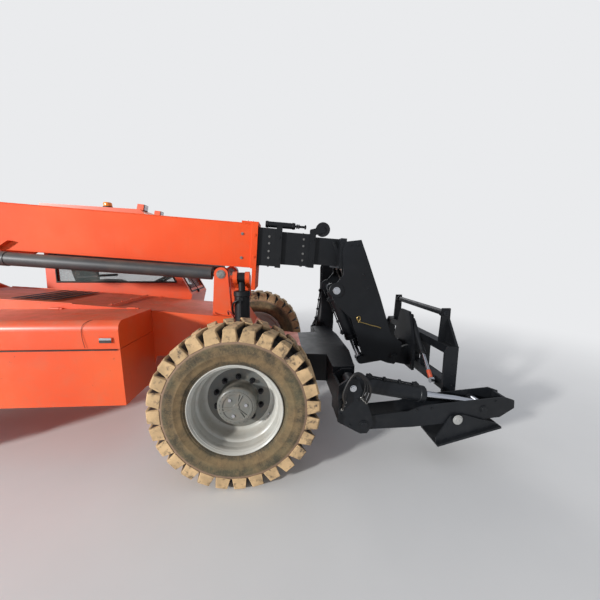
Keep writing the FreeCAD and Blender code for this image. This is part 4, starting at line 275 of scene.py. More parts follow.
def lamp_glass(nodes, colour):
    """A lamp's lens with moulded ribs."""
    waves = nodes.add("TexWave", {"Vector": nodes.place, "Scale": 60.0, "Distortion": 0.4})
    ribs = waves.outputs["Fac"]
    return nodes.surface(nodes.mix(ribs, colour, scaled(colour, 1.35)), 0.16, ribs, 0.3, 0.001, Coat_Weight=0.6)


# Each material's recipe, its colours and its settings.
RECIPES = {
    "body_paint": (paint, (226, 76, 24), (232, 92, 38), dict(dust=0.44, chips=0.5, mud=0.24)),
    "boom_paint": (paint, (228, 74, 24), (234, 90, 42),
                   dict(dust=0.24, rough=0.62, chips=0.4, gloss=0.0, shine=0.22)),
    "black_paint": (paint, (12, 14, 17), (21, 24, 28),
                    dict(dust=0.30, rough=0.46, chips=0.2, mud=0.30, gloss=0.04, soil=SOOT, shine=0.34)),
    "axle_paint": (paint, (40, 38, 37), (58, 53, 48), dict(dust=0.5, rough=0.62, chips=0.2, mud=0.7, gloss=0.0)),
    "rim_paint": (paint, (196, 196, 189), (172, 171, 162), dict(dust=0.34, rough=0.40, chips=0.35, mud=0.28)),
    "hub_paint": (paint, (88, 91, 88), (112, 112, 105), dict(dust=0.34, rough=0.40, chips=0.2, mud=0.3, gloss=0.3)),
    "tube_grey": (paint, (50, 51, 53), (66, 67, 68), dict(dust=0.3, rough=0.5, chips=0.2, gloss=0.05)),
    "plate_grey": (paint, (176, 178, 176), (160, 160, 156), dict(dust=0.3, rough=0.4)),
    "tip_orange": (paint, (216, 82, 44), (200, 84, 52), dict(dust=0.2, rough=0.45)),
    "rod_chrome": (worn_metal, (214, 216, 220), dict(rough=0.13, stain=0.12)),
    "steel": (worn_metal, (150, 148, 144), dict(rough=0.34, stain=0.5)),
    "nut_iron": (worn_metal, (58, 58, 60), dict(rough=0.45, stain=0.3)),
    "engine_iron": (worn_metal, (96, 94, 92), dict(rough=0.5, stain=0.6)),
    "mirror": (worn_metal, (200, 206, 210), dict(rough=0.05, stain=0.1)),
    "brass_fit": (worn_metal, (172, 148, 96), dict(rough=0.3, stain=0.4)),
    "lug_rubber": (rubber, (44, 40, 38), (216, 182, 136), dict(amount=0.88, scale=26.0)),
    "tyre_side": (sidewall, {}),
    "pane": (glass, (112, 126, 124), dict(alpha=0.20)),
    "seat_vinyl": (moulded, (34, 34, 36), dict(rough=0.5, scale=420.0)),
    "dash_plastic": (moulded, (46, 46, 48), dict(rough=0.62)),
    "hose_rubber": (moulded, (20, 20, 21), dict(rough=0.46, scale=900.0, dust=0.10)),
    "seal": (moulded, (18, 18, 19), dict(scale=600.0)),
    "red_hose": (moulded, (150, 30, 26), dict(rough=0.5, scale=700.0)),
    "amber": (lamp_glass, (232, 132, 24), {}),
    "red_lens": (lamp_glass, (168, 22, 18), {}),
    "clear_lens": (lamp_glass, (222, 226, 228), {}),
}
M = {name: recipe(Nodes(bpy.data.materials.new(name)), *(rgb(*colour) for colour in colours), **settings)
     for name, (recipe, *colours, settings) in RECIPES.items()}

NODE_SLOT = {entry["node"]: entry["material_slot"] for entry in frame["record"]["subparts"]}
SPECIAL = {"boom_outer": "boom_paint", "lift_barrels": "tube_grey"}
for label, thing in frame["nodes"].items():
    chosen = M.get(SPECIAL.get(label, NODE_SLOT[label]), M["tyre_side"])
    if not thing.material_slots:
        thing.data.materials.append(chosen)
    for slot in thing.material_slots:
        slot.material = chosen


# Meshes

def put(name, data, at=(0, 0, 0), turn=(0, 0, 0)):
    """A new object in the scene."""
    thing = bpy.data.objects.new(name, data)
    bpy.context.collection.objects.link(thing)
    thing.location = at
    thing.rotation_euler = turn
    return thing


def settle(thing, body, replaces=()):
    """Has a piece ride on its body and fill its slot."""
    bpy.context.view_layer.update()
    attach(thing, body)
    if replaces:
        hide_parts(*replaces)


def round_edges(thing, width, angle, segments=2):
    rounding = thing.modifiers.new("edges", "BEVEL")
    rounding.width = width
    rounding.segments = segments
    rounding.limit_method = "ANGLE"
    rounding.angle_limit = math.radians(angle)


class Shape:
    """Collects simple forms in one mesh, which becomes one piece. Each mark is one of its materials."""

    def __init__(self):
        self.corners = []
        self.faces = []
        self.marks = []
        self.mark = 0

    def place(self, corners, faces):
        base = len(self.corners)
        self.corners += corners
        self.faces += [tuple(base + index for index in face) for face in faces]
        self.marks += [self.mark] * len(faces)

    def loft(self, rings, caps=False, closed=False):
        """Walls from ring to ring; caps fill the end rings, closed joins the last ring to the first."""
        size, count = len(rings[0]), len(rings)
        faces = []
        for ring in range(count if closed else count - 1):
            low, high = size * ring, size * ((ring + 1) % count)
            faces += [(low + i, low + (i + 1) % size, high + (i + 1) % size, high + i) for i in range(size)]
        if caps:
            faces += [tuple(range(size))[::-1], tuple(range(size * (count - 1), size * count))]
        self.place([corner for ring in rings for corner in ring], faces)

    def block(self, middle, u, v, w):
        """A box about its middle, from three half edges."""
        corners = [middle + u * a + v * b + w * c for a in (-1, 1) for b in (-1, 1) for c in (-1, 1)]
        self.place(corners, [(0, 1, 3, 2), (4, 6, 7, 5), (0, 4, 5, 1), (2, 3, 7, 6), (0, 2, 6, 4), (1, 5, 7, 3)])

    def box(self, low, high):
        half = (Vector(high) - Vector(low)) / 2
        self.block(Vector(low) + half, X * half.x, Y * half.y, Z * half.z)

    def rod(self, start, end, radius, sides=20, end_radius=None):
        start, end = Vector(start), Vector(end)
        around = ways((end - start).normalized(), sides)
        self.loft([[start + way * radius for way in around],
                   [end + way * (radius if end_radius is None else end_radius) for way in around]], caps=True)

    def nut(self, at, axis, radius, height):
        """A hexagon head with a washer under it and the end of its thread."""
        for low, high, wide, sides in ((0.0, 0.22, 1.35, 20), (0.2, 1.0, 1.0, 6), (0.98, 1.25, 0.5, 12)):
            self.rod(Vector(at) + axis * height * low, Vector(at) + axis * height * high, radius * wide, sides)

    def lathe(self, profile, centre, axis, sides=48, closed=False, first=None):
        """A profile of (radius, along) turned about an axis through the centre."""
        around = ways(axis, sides, first)
        self.loft([[Vector(centre) + axis * along + way * radius for way in around]
                   for radius, along in profile], closed=closed)

    def weld(self, start, end, radius=0.006):
        """A thin bead with small ripples."""
        start, end = Vector(start), Vector(end)
        steps = max(2, int((end - start).length / 0.05))
        around = ways((end - start).normalized(), 6)
        self.loft([[start.lerp(end, step / steps) + way * radius * (1.0 + 0.18 * (step % 2)) for way in around]
                   for step in range(steps + 1)])

    def mesh(self, name, keys):
        """The collected forms as a mesh with one material for each mark."""
        mesh = bpy.data.meshes.new(name)
        mesh.from_pydata(self.corners, [], self.faces)
        work = bmesh.new()
        work.from_mesh(mesh)
        bmesh.ops.recalc_face_normals(work, faces=work.faces)
        work.to_mesh(mesh)
        work.free()
        for key in keys:
            mesh.materials.append(M[key])
        for polygon, mark in zip(mesh.polygons, self.marks):
            polygon.material_index = mark
            polygon.use_smooth = True
        return mesh

    def piece(self, name, body, materials, bevel=0.0, angle=32, segments=2):
        """The finished object, riding on its body, with its sharp edges rounded."""
        keys = [materials] if isinstance(materials, str) else materials
        middle = sum(self.corners, Vector()) / len(self.corners)
        self.corners = [corner - middle for corner in self.corners]
        thing = put(name, self.mesh(name, keys), middle)
        if bevel > 0:
            round_edges(thing, bevel, angle, segments)
        thing.data.set_sharp_from_angle(angle=math.radians(angle))
        settle(thing, body)


def hoses(name, body, runs, radius, key="hose_rubber"):
    """Hoses clamped at both ends: each run is a list of points that its smooth line follows."""
    curve = bpy.data.curves.new(name, "CURVE")
    curve.dimensions = "3D"
    curve.bevel_depth = radius
    curve.bevel_resolution = 3
    curve.resolution_u = 6
    curve.use_fill_caps = True
    for run in runs:
        spline = curve.splines.new("NURBS")
        spline.points.add(len(run) - 1)
        for point, place in zip(spline.points, run):
            point.co = (*place, 1.0)
        spline.order_u = 3
        spline.use_endpoint_u = True
    curve.materials.append(M[key])
    settle(put(name, curve), body)


# Camera, floor and light

def build_stage():
    eye = Vector((FRONT + 0.334, -3.165, 1.741))
    yaw, pitch, roll = (math.radians(value) for value in (4.04, -8.05, 0.45))
    ahead = Vector((math.sin(yaw) * math.cos(pitch), math.cos(yaw) * math.cos(pitch), math.sin(pitch)))
    right = Vector((math.cos(yaw), -math.sin(yaw), 0))
    up = right.cross(ahead)
    tilted = right * math.cos(roll) + up * math.sin(roll)
    up = up * math.cos(roll) - right * math.sin(roll)
    data = bpy.data.cameras.new("camera")
    data.sensor_width = 36
    data.lens = 279.8 / 600 * 36
    data.clip_start = 0.05
    camera = put("camera", data)
    camera.matrix_world = Matrix.Translation(eye) @ Matrix((tilted, up, -ahead)).transposed().to_4x4()
    bpy.context.scene.camera = camera

    floor = bpy.data.meshes.new("floor")
    floor.from_pydata([(-40, -40, 0), (40, -40, 0), (40, 40, 0), (-40, 40, 0)], [], [(0, 1, 2, 3)])
    nodes = Nodes(bpy.data.materials.new("floor"))
    tone = nodes.mix(nodes.noise(1.5, 4.0), rgb(222, 221, 218), rgb(230, 229, 226))
    near = nodes.add("BsdfDiffuse", {"Color": tone})
    haze = nodes.add("Emission", {"Color": BACKDROP, "Strength": 1.0})
    seen = nodes.add("LightPath").outputs["Is Camera Ray"]
    far = nodes.times(nodes.ramp(nodes.reach("X", "Y"), 3.6, 9.5), seen)
    both = nodes.add("MixShader", {0: far, 1: near.outputs[0], 2: haze.outputs[0]})
    nodes.add("OutputMaterial", {"Surface": both.outputs[0]})
    floor.materials.append(nodes.owner)
    put("floor", floor)

    for name, spot, aim, size, power in (
            ("key", (-16.0, -14.0, 6.3), (0.4, -0.5, 0.9), 1.5, 5500),
            ("fill", (6.5, -6.5, 4.5), (1.0, 0.0, 0.8), 6.0, 12),
            ("rim", (2.0, 9.0, 7.0), (0.0, 0.0, 1.0), 6.0, 300)):
        data = bpy.data.lights.new(name, "AREA")
        data.size = size
        data.energy = power
        put(name, data, spot, (Vector(aim) - Vector(spot)).to_track_quat("-Z", "Y").to_euler())

    world = bpy.data.worlds.new("studio")
    bpy.context.scene.world = world
    nodes = Nodes(world)
    path = nodes.add("LightPath").outputs
    seen = nodes.sums("MAXIMUM", path["Is Camera Ray"], path["Is Transmission Ray"])
    soft = nodes.add("Background", {"Color": (0.86, 0.90, 1.0, 1.0), "Strength": 0.46})
    shown = nodes.add("Background", {"Color": BACKDROP, "Strength": 1.0})
    both = nodes.add("MixShader", {0: seen, 1: soft.outputs[0], 2: shown.outputs[0]})
    nodes.add("OutputWorld", {"Surface": both.outputs[0]})
    bpy.context.scene.view_settings.view_transform = "Standard"


# Wheels

def lug(shape, angle, side):
    """One tread lug: broad where it meets the carcass, narrower at its top, slanted across the crown."""
    rings = []
    for share, across, foot_radius, foot, top, top_radius, lean in (
            (0.0, 0.1905, 0.532, 0.0625, 0.0420, 0.624, 0.006), (0.16, 0.1650, 0.547, 0.0595, 0.0400, 0.636, 0.0),
            (0.55, 0.0850, 0.563, 0.0450, 0.0330, 0.636, 0.0), (1.0, -0.0140, 0.567, 0.0360, 0.0300, 0.636, 0.0)):
        middle = angle + (-0.026 + 0.052 * share) / 0.61
        rings.append([spoke(radius, middle + half / 0.61, (across - offset) * side)
                      for half, radius, offset in ((-foot, foot_radius, 0.0), (foot, foot_radius, 0.0),
                                                   (top, top_radius, lean), (-top, top_radius, lean))])
    shape.loft(rings, caps=True)


def tyre_shape():
    shape = Shape()
    half = [(0.3375, 0.150), (0.345, 0.158), (0.362, 0.160), (0.370, 0.1615), (0.374, 0.1675), (0.382, 0.170),
            (0.386, 0.1765), (0.392, 0.1780), (0.410, 0.1838), (0.434, 0.1888), (0.437, 0.1905), (0.441, 0.1905),
            (0.444, 0.1897), (0.462, 0.1912), (0.484, 0.1915), (0.489, 0.1924), (0.497, 0.1924), (0.501, 0.1912),
            (0.520, 0.1890), (0.536, 0.1845), (0.552, 0.172), (0.565, 0.155), (0.571, 0.120), (0.574, 0.060)]
    shape.lathe([(r, -y) for r, y in half] + [(0.575, 0.0)] + half[::-1], Vector(), Y, 96)
    shape.mark = 1
    for side, offset in ((-1, 0.0), (1, 0.5)):
        for turn in turns(28, offset):
            lug(shape, turn, side)
    return shape


def rim_shape():
    """The rim and hub, outboard towards -Y, about the wheel's centre."""
    shape = Shape()
    shape.lathe([
        (0.150, 0.0385), (0.262, 0.0385), (0.272, 0.034), (0.282, 0.020), (0.290, 0.000), (0.294, -0.020),
        (0.296, -0.052), (0.302, -0.062), (0.314, -0.070), (0.317, -0.080), (0.318, -0.104), (0.322, -0.112),
        (0.3235, -0.122), (0.3235, -0.140), (0.327, -0.150), (0.338, -0.160), (0.345, -0.1685), (0.350, -0.172),
        (0.3545, -0.171), (0.356, -0.166), (0.3555, -0.1615), (0.3345, -0.160), (0.334, -0.108), (0.318, -0.080),
        (0.316, 0.080), (0.334, 0.108), (0.334, 0.160), (0.3555, 0.1615), (0.356, 0.168), (0.351, 0.172),
        (0.343, 0.166), (0.325, 0.160), (0.324, 0.112), (0.306, 0.078), (0.300, 0.060), (0.285, 0.057),
        (0.150, 0.057)], Vector(), Y, 96, closed=True)
    shape.mark = 1
    shape.lathe([
        (0.0, -0.1125), (0.020, -0.1125), (0.026, -0.1065), (0.102, -0.1065), (0.106, -0.1125), (0.119, -0.1125),
        (0.123, -0.1075), (0.137, -0.1060), (0.145, -0.0990), (0.149, -0.088), (0.149, -0.066), (0.146, -0.062),
        (0.146, -0.030), (0.147, 0.012), (0.150, 0.024), (0.154, 0.030), (0.158, 0.036), (0.249, 0.037),
        (0.251, 0.040), (0.249, 0.056), (0.174, 0.058), (0.172, 0.142), (0.063, 0.142), (0.063, 0.120),
        (0.0, 0.120)], Vector(), Y, 64)
    for turn in turns(24, 0.5):
        shape.rod(spoke(0.130, turn, -0.104), spoke(0.130, turn, -0.1105), 0.0044, 6)
    for turn in turns(3, 0.16):
        for lean in (-0.13, 0.13):
            shape.rod(spoke(0.016, turn, -0.109), spoke(0.106, turn + lean, -0.109), 0.0046, 8)
    shape.mark = 3
    for turn in turns(10):
        shape.nut(spoke(0.184, turn, 0.037), -Y, 0.0165, 0.034)
    shape.mark = 2
    for turn in turns(3, 0.66):
        shape.rod(spoke(0.074, turn, -0.1060), spoke(0.074, turn, -0.1145), 0.0135, 24, 0.0120)
    shape.rod((0.246, 0.036, -0.13), (0.236, 0.000, -0.125), 0.0045, 10)
    return shape


def build_wheels():
    """Two meshes that the four wheels share; the left wheels are turned half round."""
    kinds = []
    for kind, shape, keys, sharp in (
            ("tyre", tyre_shape(), ("tyre_side", "lug_rubber"), 34),
            ("rim", rim_shape(), ("rim_paint", "hub_paint", "rod_chrome", "nut_iron"), 38)):
        kinds.append((kind, shape.mesh(kind, keys), keys[0]))
        kinds[-1][1].set_sharp_from_angle(angle=math.radians(sharp))
    for end, x in ENDS:
        for name, side in SIDES:
            for kind, mesh, key in kinds:
                thing = put(f"worn_{kind}_{end}_{name}", mesh, (x, side * WHEEL_Y, AXLE_Z),
                            (0, 0, 0 if side < 0 else math.pi))
                if kind == "tyre":
                    round_edges(thing, 0.004, 40)
                settle(thing, f"wheel_{end}_{name}", [f"{kind}_{end}_{name}"])


# Fittings that repeat

def pin_head(shape, at, side, radius, keeper=False):
    """A pin's end towards -Y or +Y; its keeper is a plate with one bolt."""
    at, axis = Vector(at), Y * side
    for low, high, start, end, sides in ((0.0, 0.006, 1.28, 1.28, 28), (0.005, 0.013, 1.0, 0.94, 28),
                                         (0.012, 0.0155, 0.30, 0.30, 12)):
        shape.rod(at + axis * low, at + axis * high, radius * start, sides, radius * end)
    if keeper:
        across = Vector((0.78, 0, 0.62))
        other = axis.cross(across)
        at = at + axis * 0.006
        shape.loft([[at + axis * depth + other * u + across * (radius * v)
                     for u, v in ((-0.028, 0.72), (0.028, 0.72), (0.020, 1.75), (-0.020, 1.75))]
                    for depth in (0.0, 0.006)], caps=True)
        shape.nut(at + axis * 0.005 + across * (radius * 1.5), axis, 0.0085, 0.008)


def pin_pair(name, body, key, spot, half_width, radius, keeper=False):
    """The two ends of a pin across the machine."""
    shape = Shape()
    for side in (-1, 1):
        pin_head(shape, (spot[0], side * half_width, spot[1]), side, radius, keeper)
    shape.piece(name, body, key, 0.001)


def cylinder_fittings(name, body, start, end, length, out, ports=(0.12, 0.10)):
    """Gland, weld ring, two port blocks and the clamped pipe that joins them, along a cylinder's barrel."""
    radius = 0.066
    start = Vector(start)
    axis = (Vector(end) - start).normalized()
    out = (out - axis * out.dot(axis)).normalized()
    side = axis.cross(out)
    near, far = ports[0], length - ports[1]
    shape = Shape()
    shape.lathe([(radius * 0.62, length + 0.010), (radius * 0.86, length + 0.010), (radius * 0.90, length + 0.006),
                 (radius + 0.0015, length + 0.004), (radius + 0.007, length - 0.002),
                 (radius + 0.007, length - 0.046), (radius + 0.001, length - 0.052)], start, axis, 40)
    shape.lathe([(radius + 0.0005, 0.118), (radius + 0.006, 0.124), (radius + 0.007, 0.131),
                 (radius + 0.0005, 0.138)], start, axis, 40)
    for way in ways(axis, 8, out):
        at = start + axis * (length + 0.0055) + way * (radius * 0.74)
        shape.rod(at, at + axis * 0.006, 0.0052, 6)
    port, clamp = (0.024, 0.020, 0.016, 0.026, 0.011), (0.012, 0.018, 0.014, 0.020, 0.006)
    for share, (long, wide, high, top, head) in ((0.0, port), (1.0, port), (0.33, clamp), (0.66, clamp)):
        middle = start + axis * (near + (far - near) * share) + out * (radius + 0.010)
        shape.block(middle, axis * long, side * wide, out * high)
        shape.rod(middle + out * 0.012, middle + out * top, head, 6)
    line = [start + axis * along + out * (radius + lift) for along, lift in (
        (near, 0.016), (near + 0.02, 0.0125), (far - 0.01, 0.0125), (far, 0.016))]
    for first, last in ((line[1], line[2]), (line[2], line[3]), (line[1], line[0])):
        shape.rod(first, last, 0.0075, 12)
    shape.piece(name, body, "black_paint", 0.0015)


# Fittings of each group

def boom_details():
    shape = Shape()
    for side in (-1, 1):
        for along, above in ((4.10, 0.113), (4.10, -0.130), (0.10, 0.13), (0.10, -0.13)):
            shape.nut(boom(along, side * 0.2105, above), Y * side, 0.011, 0.011)
    for along in (4.135, 4.185):
        for y in (-0.105, 0.0, 0.105):
            shape.nut(boom(along, y, 0.252), BOOM_UP, 0.010, 0.010)
    shape.piece("boom_pad_bolts", "boom", "steel")

    shape = Shape()
    shape.weld(boom(4.214, -0.222, -0.225), boom(4.214, 0.222, -0.225), 0.006)
    for side in (-1, 1):
        for above in (-0.221, 0.221):
            shape.weld(boom(-0.12, side * 0.211, above), boom(4.24, side * 0.211, above), 0.0045)
        shape.weld(boom(4.196, side * 0.212, -0.22), boom(4.196, side * 0.212, 0.22), 0.005)
        for start, end in pairs([Vector((LIFT_EYE[0] + 0.084 * math.cos(turn), side * 0.213,
                                         LIFT_EYE[1] + 0.084 * math.sin(turn))) for turn in turns(12)]):
            shape.weld(start, end, 0.004)
    shape.piece("boom_welds", "boom", "boom_paint", 0.0, 60)

    pin_pair("boom_pivot_pins", "chassis", "steel", PIVOT, 0.4405, 0.050, True)
    pin_pair("lift_eye_pins", "boom", "steel", LIFT_EYE, 0.3305, 0.036, True)

    hoses("boom_side_pipes", "boom", [
        [boom(0.30, 0.2315, above - 0.05), *(boom(along, 0.2275, above) for along in (0.36, 1.5, 2.9, 4.02)),
         boom(4.10, 0.2305, above - 0.03)] for above in (0.10, 0.066, 0.032)], 0.0085, "steel")
    shape = Shape()
    for along in (0.5, 1.25, 2.0, 2.75, 3.5, 3.95):
        shape.block(boom(along, 0.224, 0.066), X * 0.018, Y * 0.015, Z * 0.062)
        for above in (0.083, 0.049):
            shape.nut(boom(along, 0.2385, above), Y, 0.0065, 0.007)
    shape.piece("boom_pipe_clamps", "boom", "dash_plastic", 0.002)


def head_details():
    for body, along, wide, high in (("boom_second", 4.375, 0.1855, 0.1955), ("boom_third", 4.735, 0.1605, 0.1705)):
        bolts = Shape()
        for side in (-1, 1):
            for above in (-0.11, -0.04, 0.04, 0.11):
                bolts.nut(boom(along, side * wide, above), Y * side, 0.0085, 0.009)
            for y in (-0.09, 0.09):
                bolts.nut(boom(along - 0.005, y, side * high), BOOM_UP * side, 0.0085, 0.009)
        bolts.piece(f"{body}_pad_bolts", body, "steel")

    # The tensioner's lock nuts and collars, and the flanges of the sheave
    lock = Shape()
    for along in (4.652, 4.672, 4.742):
        lock.rod(boom(along, -0.060, 0.247), boom(along + 0.014, -0.060, 0.247), 0.024, 6)
    for profile in (((0.0325, 0.006), (0.0365, 0.008), (0.0365, 0.030), (0.0325, 0.033)),
                    ((0.0325, 0.286), (0.0365, 0.289), (0.0365, 0.312), (0.020, 0.316))):
        lock.lathe(profile, boom(4.32, -0.060, 0.247), BOOM_WAY, 32)
    lock.piece("tensioner_nuts", "boom_second", "nut_iron", 0.001)
    wheel = Shape()
    centre = boom(4.935, -0.110, 0.232)
    for side in (-1, 1):
        wheel.lathe(((0.012, 0.0185), (0.012, 0.0215), (0.026, 0.0215), (0.030, 0.0195), (0.058, 0.0192),
                     (0.064, 0.0205), (0.0755, 0.0200)), centre, Y * side, 40)
        wheel.nut(centre + Y * side * 0.0205, Y * side, 0.013, 0.010)
    wheel.piece("sheave_flanges", "boom_third", "nut_iron", 0.0008)

    # The brace, pins, welds and bolts of the head
    brace = Shape()
    top, low = boom(5.055, -0.1500, 0.118), Vector((2.052, -0.1500, 1.800))
    axis = (low - top).normalized()
    brace.block((top + low) / 2, (low - top) / 2, Y * 0.004, Y.cross(axis) * 0.016)
    brace.nut(top + axis * 0.02 - Y * 0.004, -Y, 0.009, 0.009)
    brace.piece("head_brace", "boom_head", "black_paint", 0.0012)
    pin_pair("tilt_base_pins", "boom_head", "rod_chrome", TILT_BASE, 0.3142, 0.030)
    shape = Shape()
    for side in (-1, 1):
        shape.lathe(((0.0745, 0.290), (0.080, 0.2995), (0.0745, 0.3035)), (TILT_BASE[0], 0, TILT_BASE[1]), Y * side)
        pin_head(shape, (QUICK[0], side * 0.1802, QUICK[1]), side, 0.036, True)
        for x, z in ((2.155, 1.90), (2.225, 1.90), (2.30, 1.60), (2.35, 1.45)):
            shape.nut((x, side * 0.3005, z), Y * side, 0.009, 0.008)
        edge = [(x, side * 0.275, z) for x, z in (
            (2.2547, 1.9543), (2.3267, 1.7713), (2.4817, 1.3613), (2.6087, 0.9813))]
        for start, end in zip(edge, edge[1:]):
            shape.weld(start, end, 0.005)
        shape.weld((2.55, side * 0.183, 1.003), (2.30, side * 0.183, 1.085), 0.005)
    shape.piece("gooseneck_fittings", "boom_head", "black_paint", 0.0008)

    # Hoses and a wire beside the head
    lines, ends = [], Shape()
    for drop, y in ((0.0, -0.132), (0.012, -0.108), (0.024, 0.108), (0.036, 0.132)):
        lines.append([(2.085, y, 1.69), (2.115, y, 1.60), (2.16 + drop, y, 1.40), (2.22 + drop, y, 1.16),
                      (2.30 + drop, y, 0.99), (2.42 + drop, y, 0.86), (2.53, y, 0.80), (2.57, y * 0.9, 0.775)])
        ends.rod((2.078, y, 1.715), (2.092, y, 1.668), 0.0135, 6)
        ends.rod((2.092, y, 1.668), (2.101, y, 1.640), 0.0120, 16)
    hoses("head_hoses", "boom_head", lines, 0.0105)
    ends.piece("head_hose_ends", "boom_head", "steel", 0.0008)
    hoses("neck_wire", "boom_head", [
        [(2.235, -0.304, 1.150), (2.26, -0.3085, 1.10), (2.33, -0.3085, 1.085), (2.40, -0.3085, 1.060),
         (2.47, -0.3085, 1.047), (2.505, -0.304, 1.030)],
        [(2.258, -0.304, 1.098), (2.238, -0.3085, 1.120), (2.246, -0.3085, 1.158), (2.272, -0.3085, 1.160),
         (2.280, -0.3085, 1.128), (2.262, -0.304, 1.096)]], 0.0062, "brass_fit")
    cylinder_fittings("tilt_barrel_fittings", "tilt_barrel", (TILT_BASE[0], 0, TILT_BASE[1]),
                      (2.3777, 0, 0.5863), 0.640, -X)


def carriage_details():
    shape = Shape()
    x, z = SHAFT
    for side in (-1, 1):
        shape.lathe(((0.0, 0.012), (0.020, 0.012), (0.0285, 0.009), (0.030, 0.0)), (x, side * 0.5705, z), Y * side, 28)
        shape.nut((x, side * 0.5805, z), Y * side, 0.012, 0.010)
        shape.lathe(((0.0302, -0.020), (0.040, -0.020), (0.040, 0.020), (0.0302, 0.020)), (x, side * 0.520, z), Y, 28)
        for height in (0.57, 0.67, 0.77):
            shape.nut((3.062, side * 0.7405, height), Y * side, 0.009, 0.009)
        shape.weld((3.0795, side * 0.562, 0.952), (3.0795, side * 0.735, 0.952), 0.005)
        for y, high in ((0.714, 0.87), (0.231, 0.86)):
            shape.weld((3.0105, side * y, 0.60), (3.0105, side * y, high), 0.005)
    for height in (0.5965, 0.8715):
        for low, high in ((-0.71, -0.26), (0.26, 0.71)):
            shape.weld((3.0985, low, height), (3.0985, high, height), 0.0035)
    for step in range(12):
        y = -0.66 + 0.12 * step
        shape.rod((3.0960, y, 0.9115), (3.1010, y, 0.9115), 0.0125, 18, 0.0115)
    for turn in turns(8, 0.5):
        shape.nut((3.0810, 0.072 * math.sin(turn), 0.7213 + 0.072 * math.cos(turn)), X, 0.009, 0.009)
    shape.piece("carriage_fittings", "carriage", "black_paint", 0.0008)

    shape = Shape()
    for wide, turn in zip((0.198, 0.165, 0.165) * 2, turns(6)):
        shape.nut((2.9262, wide * math.cos(turn), 0.72 + 0.12 * math.sin(turn)), X, 0.010, 0.010)
    for y in (-0.24, 0.24):
        shape.weld((2.8985, y, 0.55), (2.8985, y, 0.80), 0.005)
    shape.piece("quick_attach_bolts", "quick_attach", "nut_iron")

    base, end = Vector((2.9637, -0.040, 1.1013)), Vector((2.9637, -0.560, 0.5493))
    axis = (end - base).normalized()
    reach = (end - base).length
    sleeve = Shape()
    sleeve.lathe([(0.0162, reach - 0.105), (0.0225, reach - 0.100), (0.0240, reach - 0.030),
                  (0.0205, reach - 0.022)], base, axis, 28)
    sleeve.piece("side_tilt_rod_end", "side_tilt_rod", "tip_orange", 0.001)
    gland = Shape()
    for profile in (((0.020, 0.474), (0.030, 0.474), (0.0335, 0.470), (0.0345, 0.440), (0.0325, 0.436)),
                    ((0.0322, 0.066), (0.0345, 0.070), (0.0345, 0.084), (0.0322, 0.088))):
        gland.lathe(profile, base, axis, 32)
    gland.piece("side_tilt_gland", "side_tilt_barrel", "nut_iron", 0.0008)


def outrigger_details():
    for name, side in SIDES:
        shape = Shape()
        for (x, z), radius, mark in ((LEG_PIVOT, 0.030, 1), (LEG_BARREL, 0.022, 0)):
            shape.mark = mark
            pin_head(shape, (x, side * 1.0605, z), side, radius)
            pin_head(shape, (x, side * 0.7895, z), -side, radius)
        shape.mark = 1
        for x, z in ((1.925, 0.50), (1.925, 0.62), (2.00, 0.40), (2.06, 0.62)):
            shape.nut((x, side * 1.0602, z), Y * side, 0.0095, 0.009)
        shape.weld((1.912, side * 1.033, 0.45), (1.912, side * 1.033, 0.73), 0.006)
        shape.piece(f"leg_mount_pins_{name}", "chassis", ("rod_chrome", "black_paint"), 0.0008)

        leg, foot = Shape(), Shape()
        leg.weld(on_leg(side, 1.322, -0.085, -0.020), on_leg(side, 1.322, 0.085, -0.020), 0.005)
        for outward in (-1, 1):
            pin_head(leg, on_leg(side, 1.060, outward * 0.1003, 0.0), outward, 0.027)
            pin_head(foot, on_leg(side, 0.807, outward * 0.1305, -0.050), outward, 0.033)
            for along in (0.47, 0.60, 1.17):
                leg.nut(on_leg(side, along, outward * 0.1002, 0.060), Y * outward, 0.0085, 0.008)
            for start, end, above in ((0.44, 1.16, -0.084), (0.53, 1.10, 0.084)):
                leg.weld(*(on_leg(side, along, outward * 0.0935, above) for along in (start, end)), 0.004)
        leg.piece(f"leg_fittings_{name}", f"outrigger_leg_{name}", "black_paint", 0.0008)
        foot.piece(f"foot_pin_ends_{name}", f"outrigger_foot_{name}", "plate_grey", 0.001)

        y = side * LEG_Y
        end, out = ((3.1753, y, 0.4869), Z) if side < 0 else ((2.1189, y, 1.460), -X)
        cylinder_fittings(f"outrigger_barrel_fittings_{name}", f"outrigger_barrel_{name}",
                          (LEG_BARREL[0], y, LEG_BARREL[1]), end, 0.670, out, (0.16, 0.09))
        loops, ends = [], Shape()
        for lane in range(3):
            wide = side * (1.078 + 0.022 * lane)
            low, high = (1.93 + 0.012 * lane, 0.545 + 0.03 * lane), (2.09 + 0.02 * lane, 0.640 - 0.02 * lane)
            loops.append([(low[0], side * 1.064, low[1]), (1.94, wide, 0.56 + 0.03 * lane),
                          (1.955 - 0.02 * lane, wide, 0.70), (1.985, wide, 0.815 + 0.02 * lane),
                          (2.05, wide, 0.845 + 0.02 * lane), (2.11 + 0.01 * lane, wide, 0.80),
                          (2.115 + 0.018 * lane, wide, 0.70), (high[0], side * 1.070, high[1])])
            for (x, z), tip in ((low, 1.0722), (high, 1.0742)):
                ends.rod((x, side * 1.0602, z), (x, side * tip, z), 0.014, 6)
        hoses(f"leg_hoses_{name}", "chassis", loops, 0.0095)
        ends.piece(f"leg_hose_ends_{name}", "chassis", "steel", 0.0008)


def deck(x):
    """The height of the deck, which folds at x = -0.511."""
    return 1.318 - (x + 0.511) * (0.143 / 1.54 if x > -0.511 else 0.082 / 1.29)


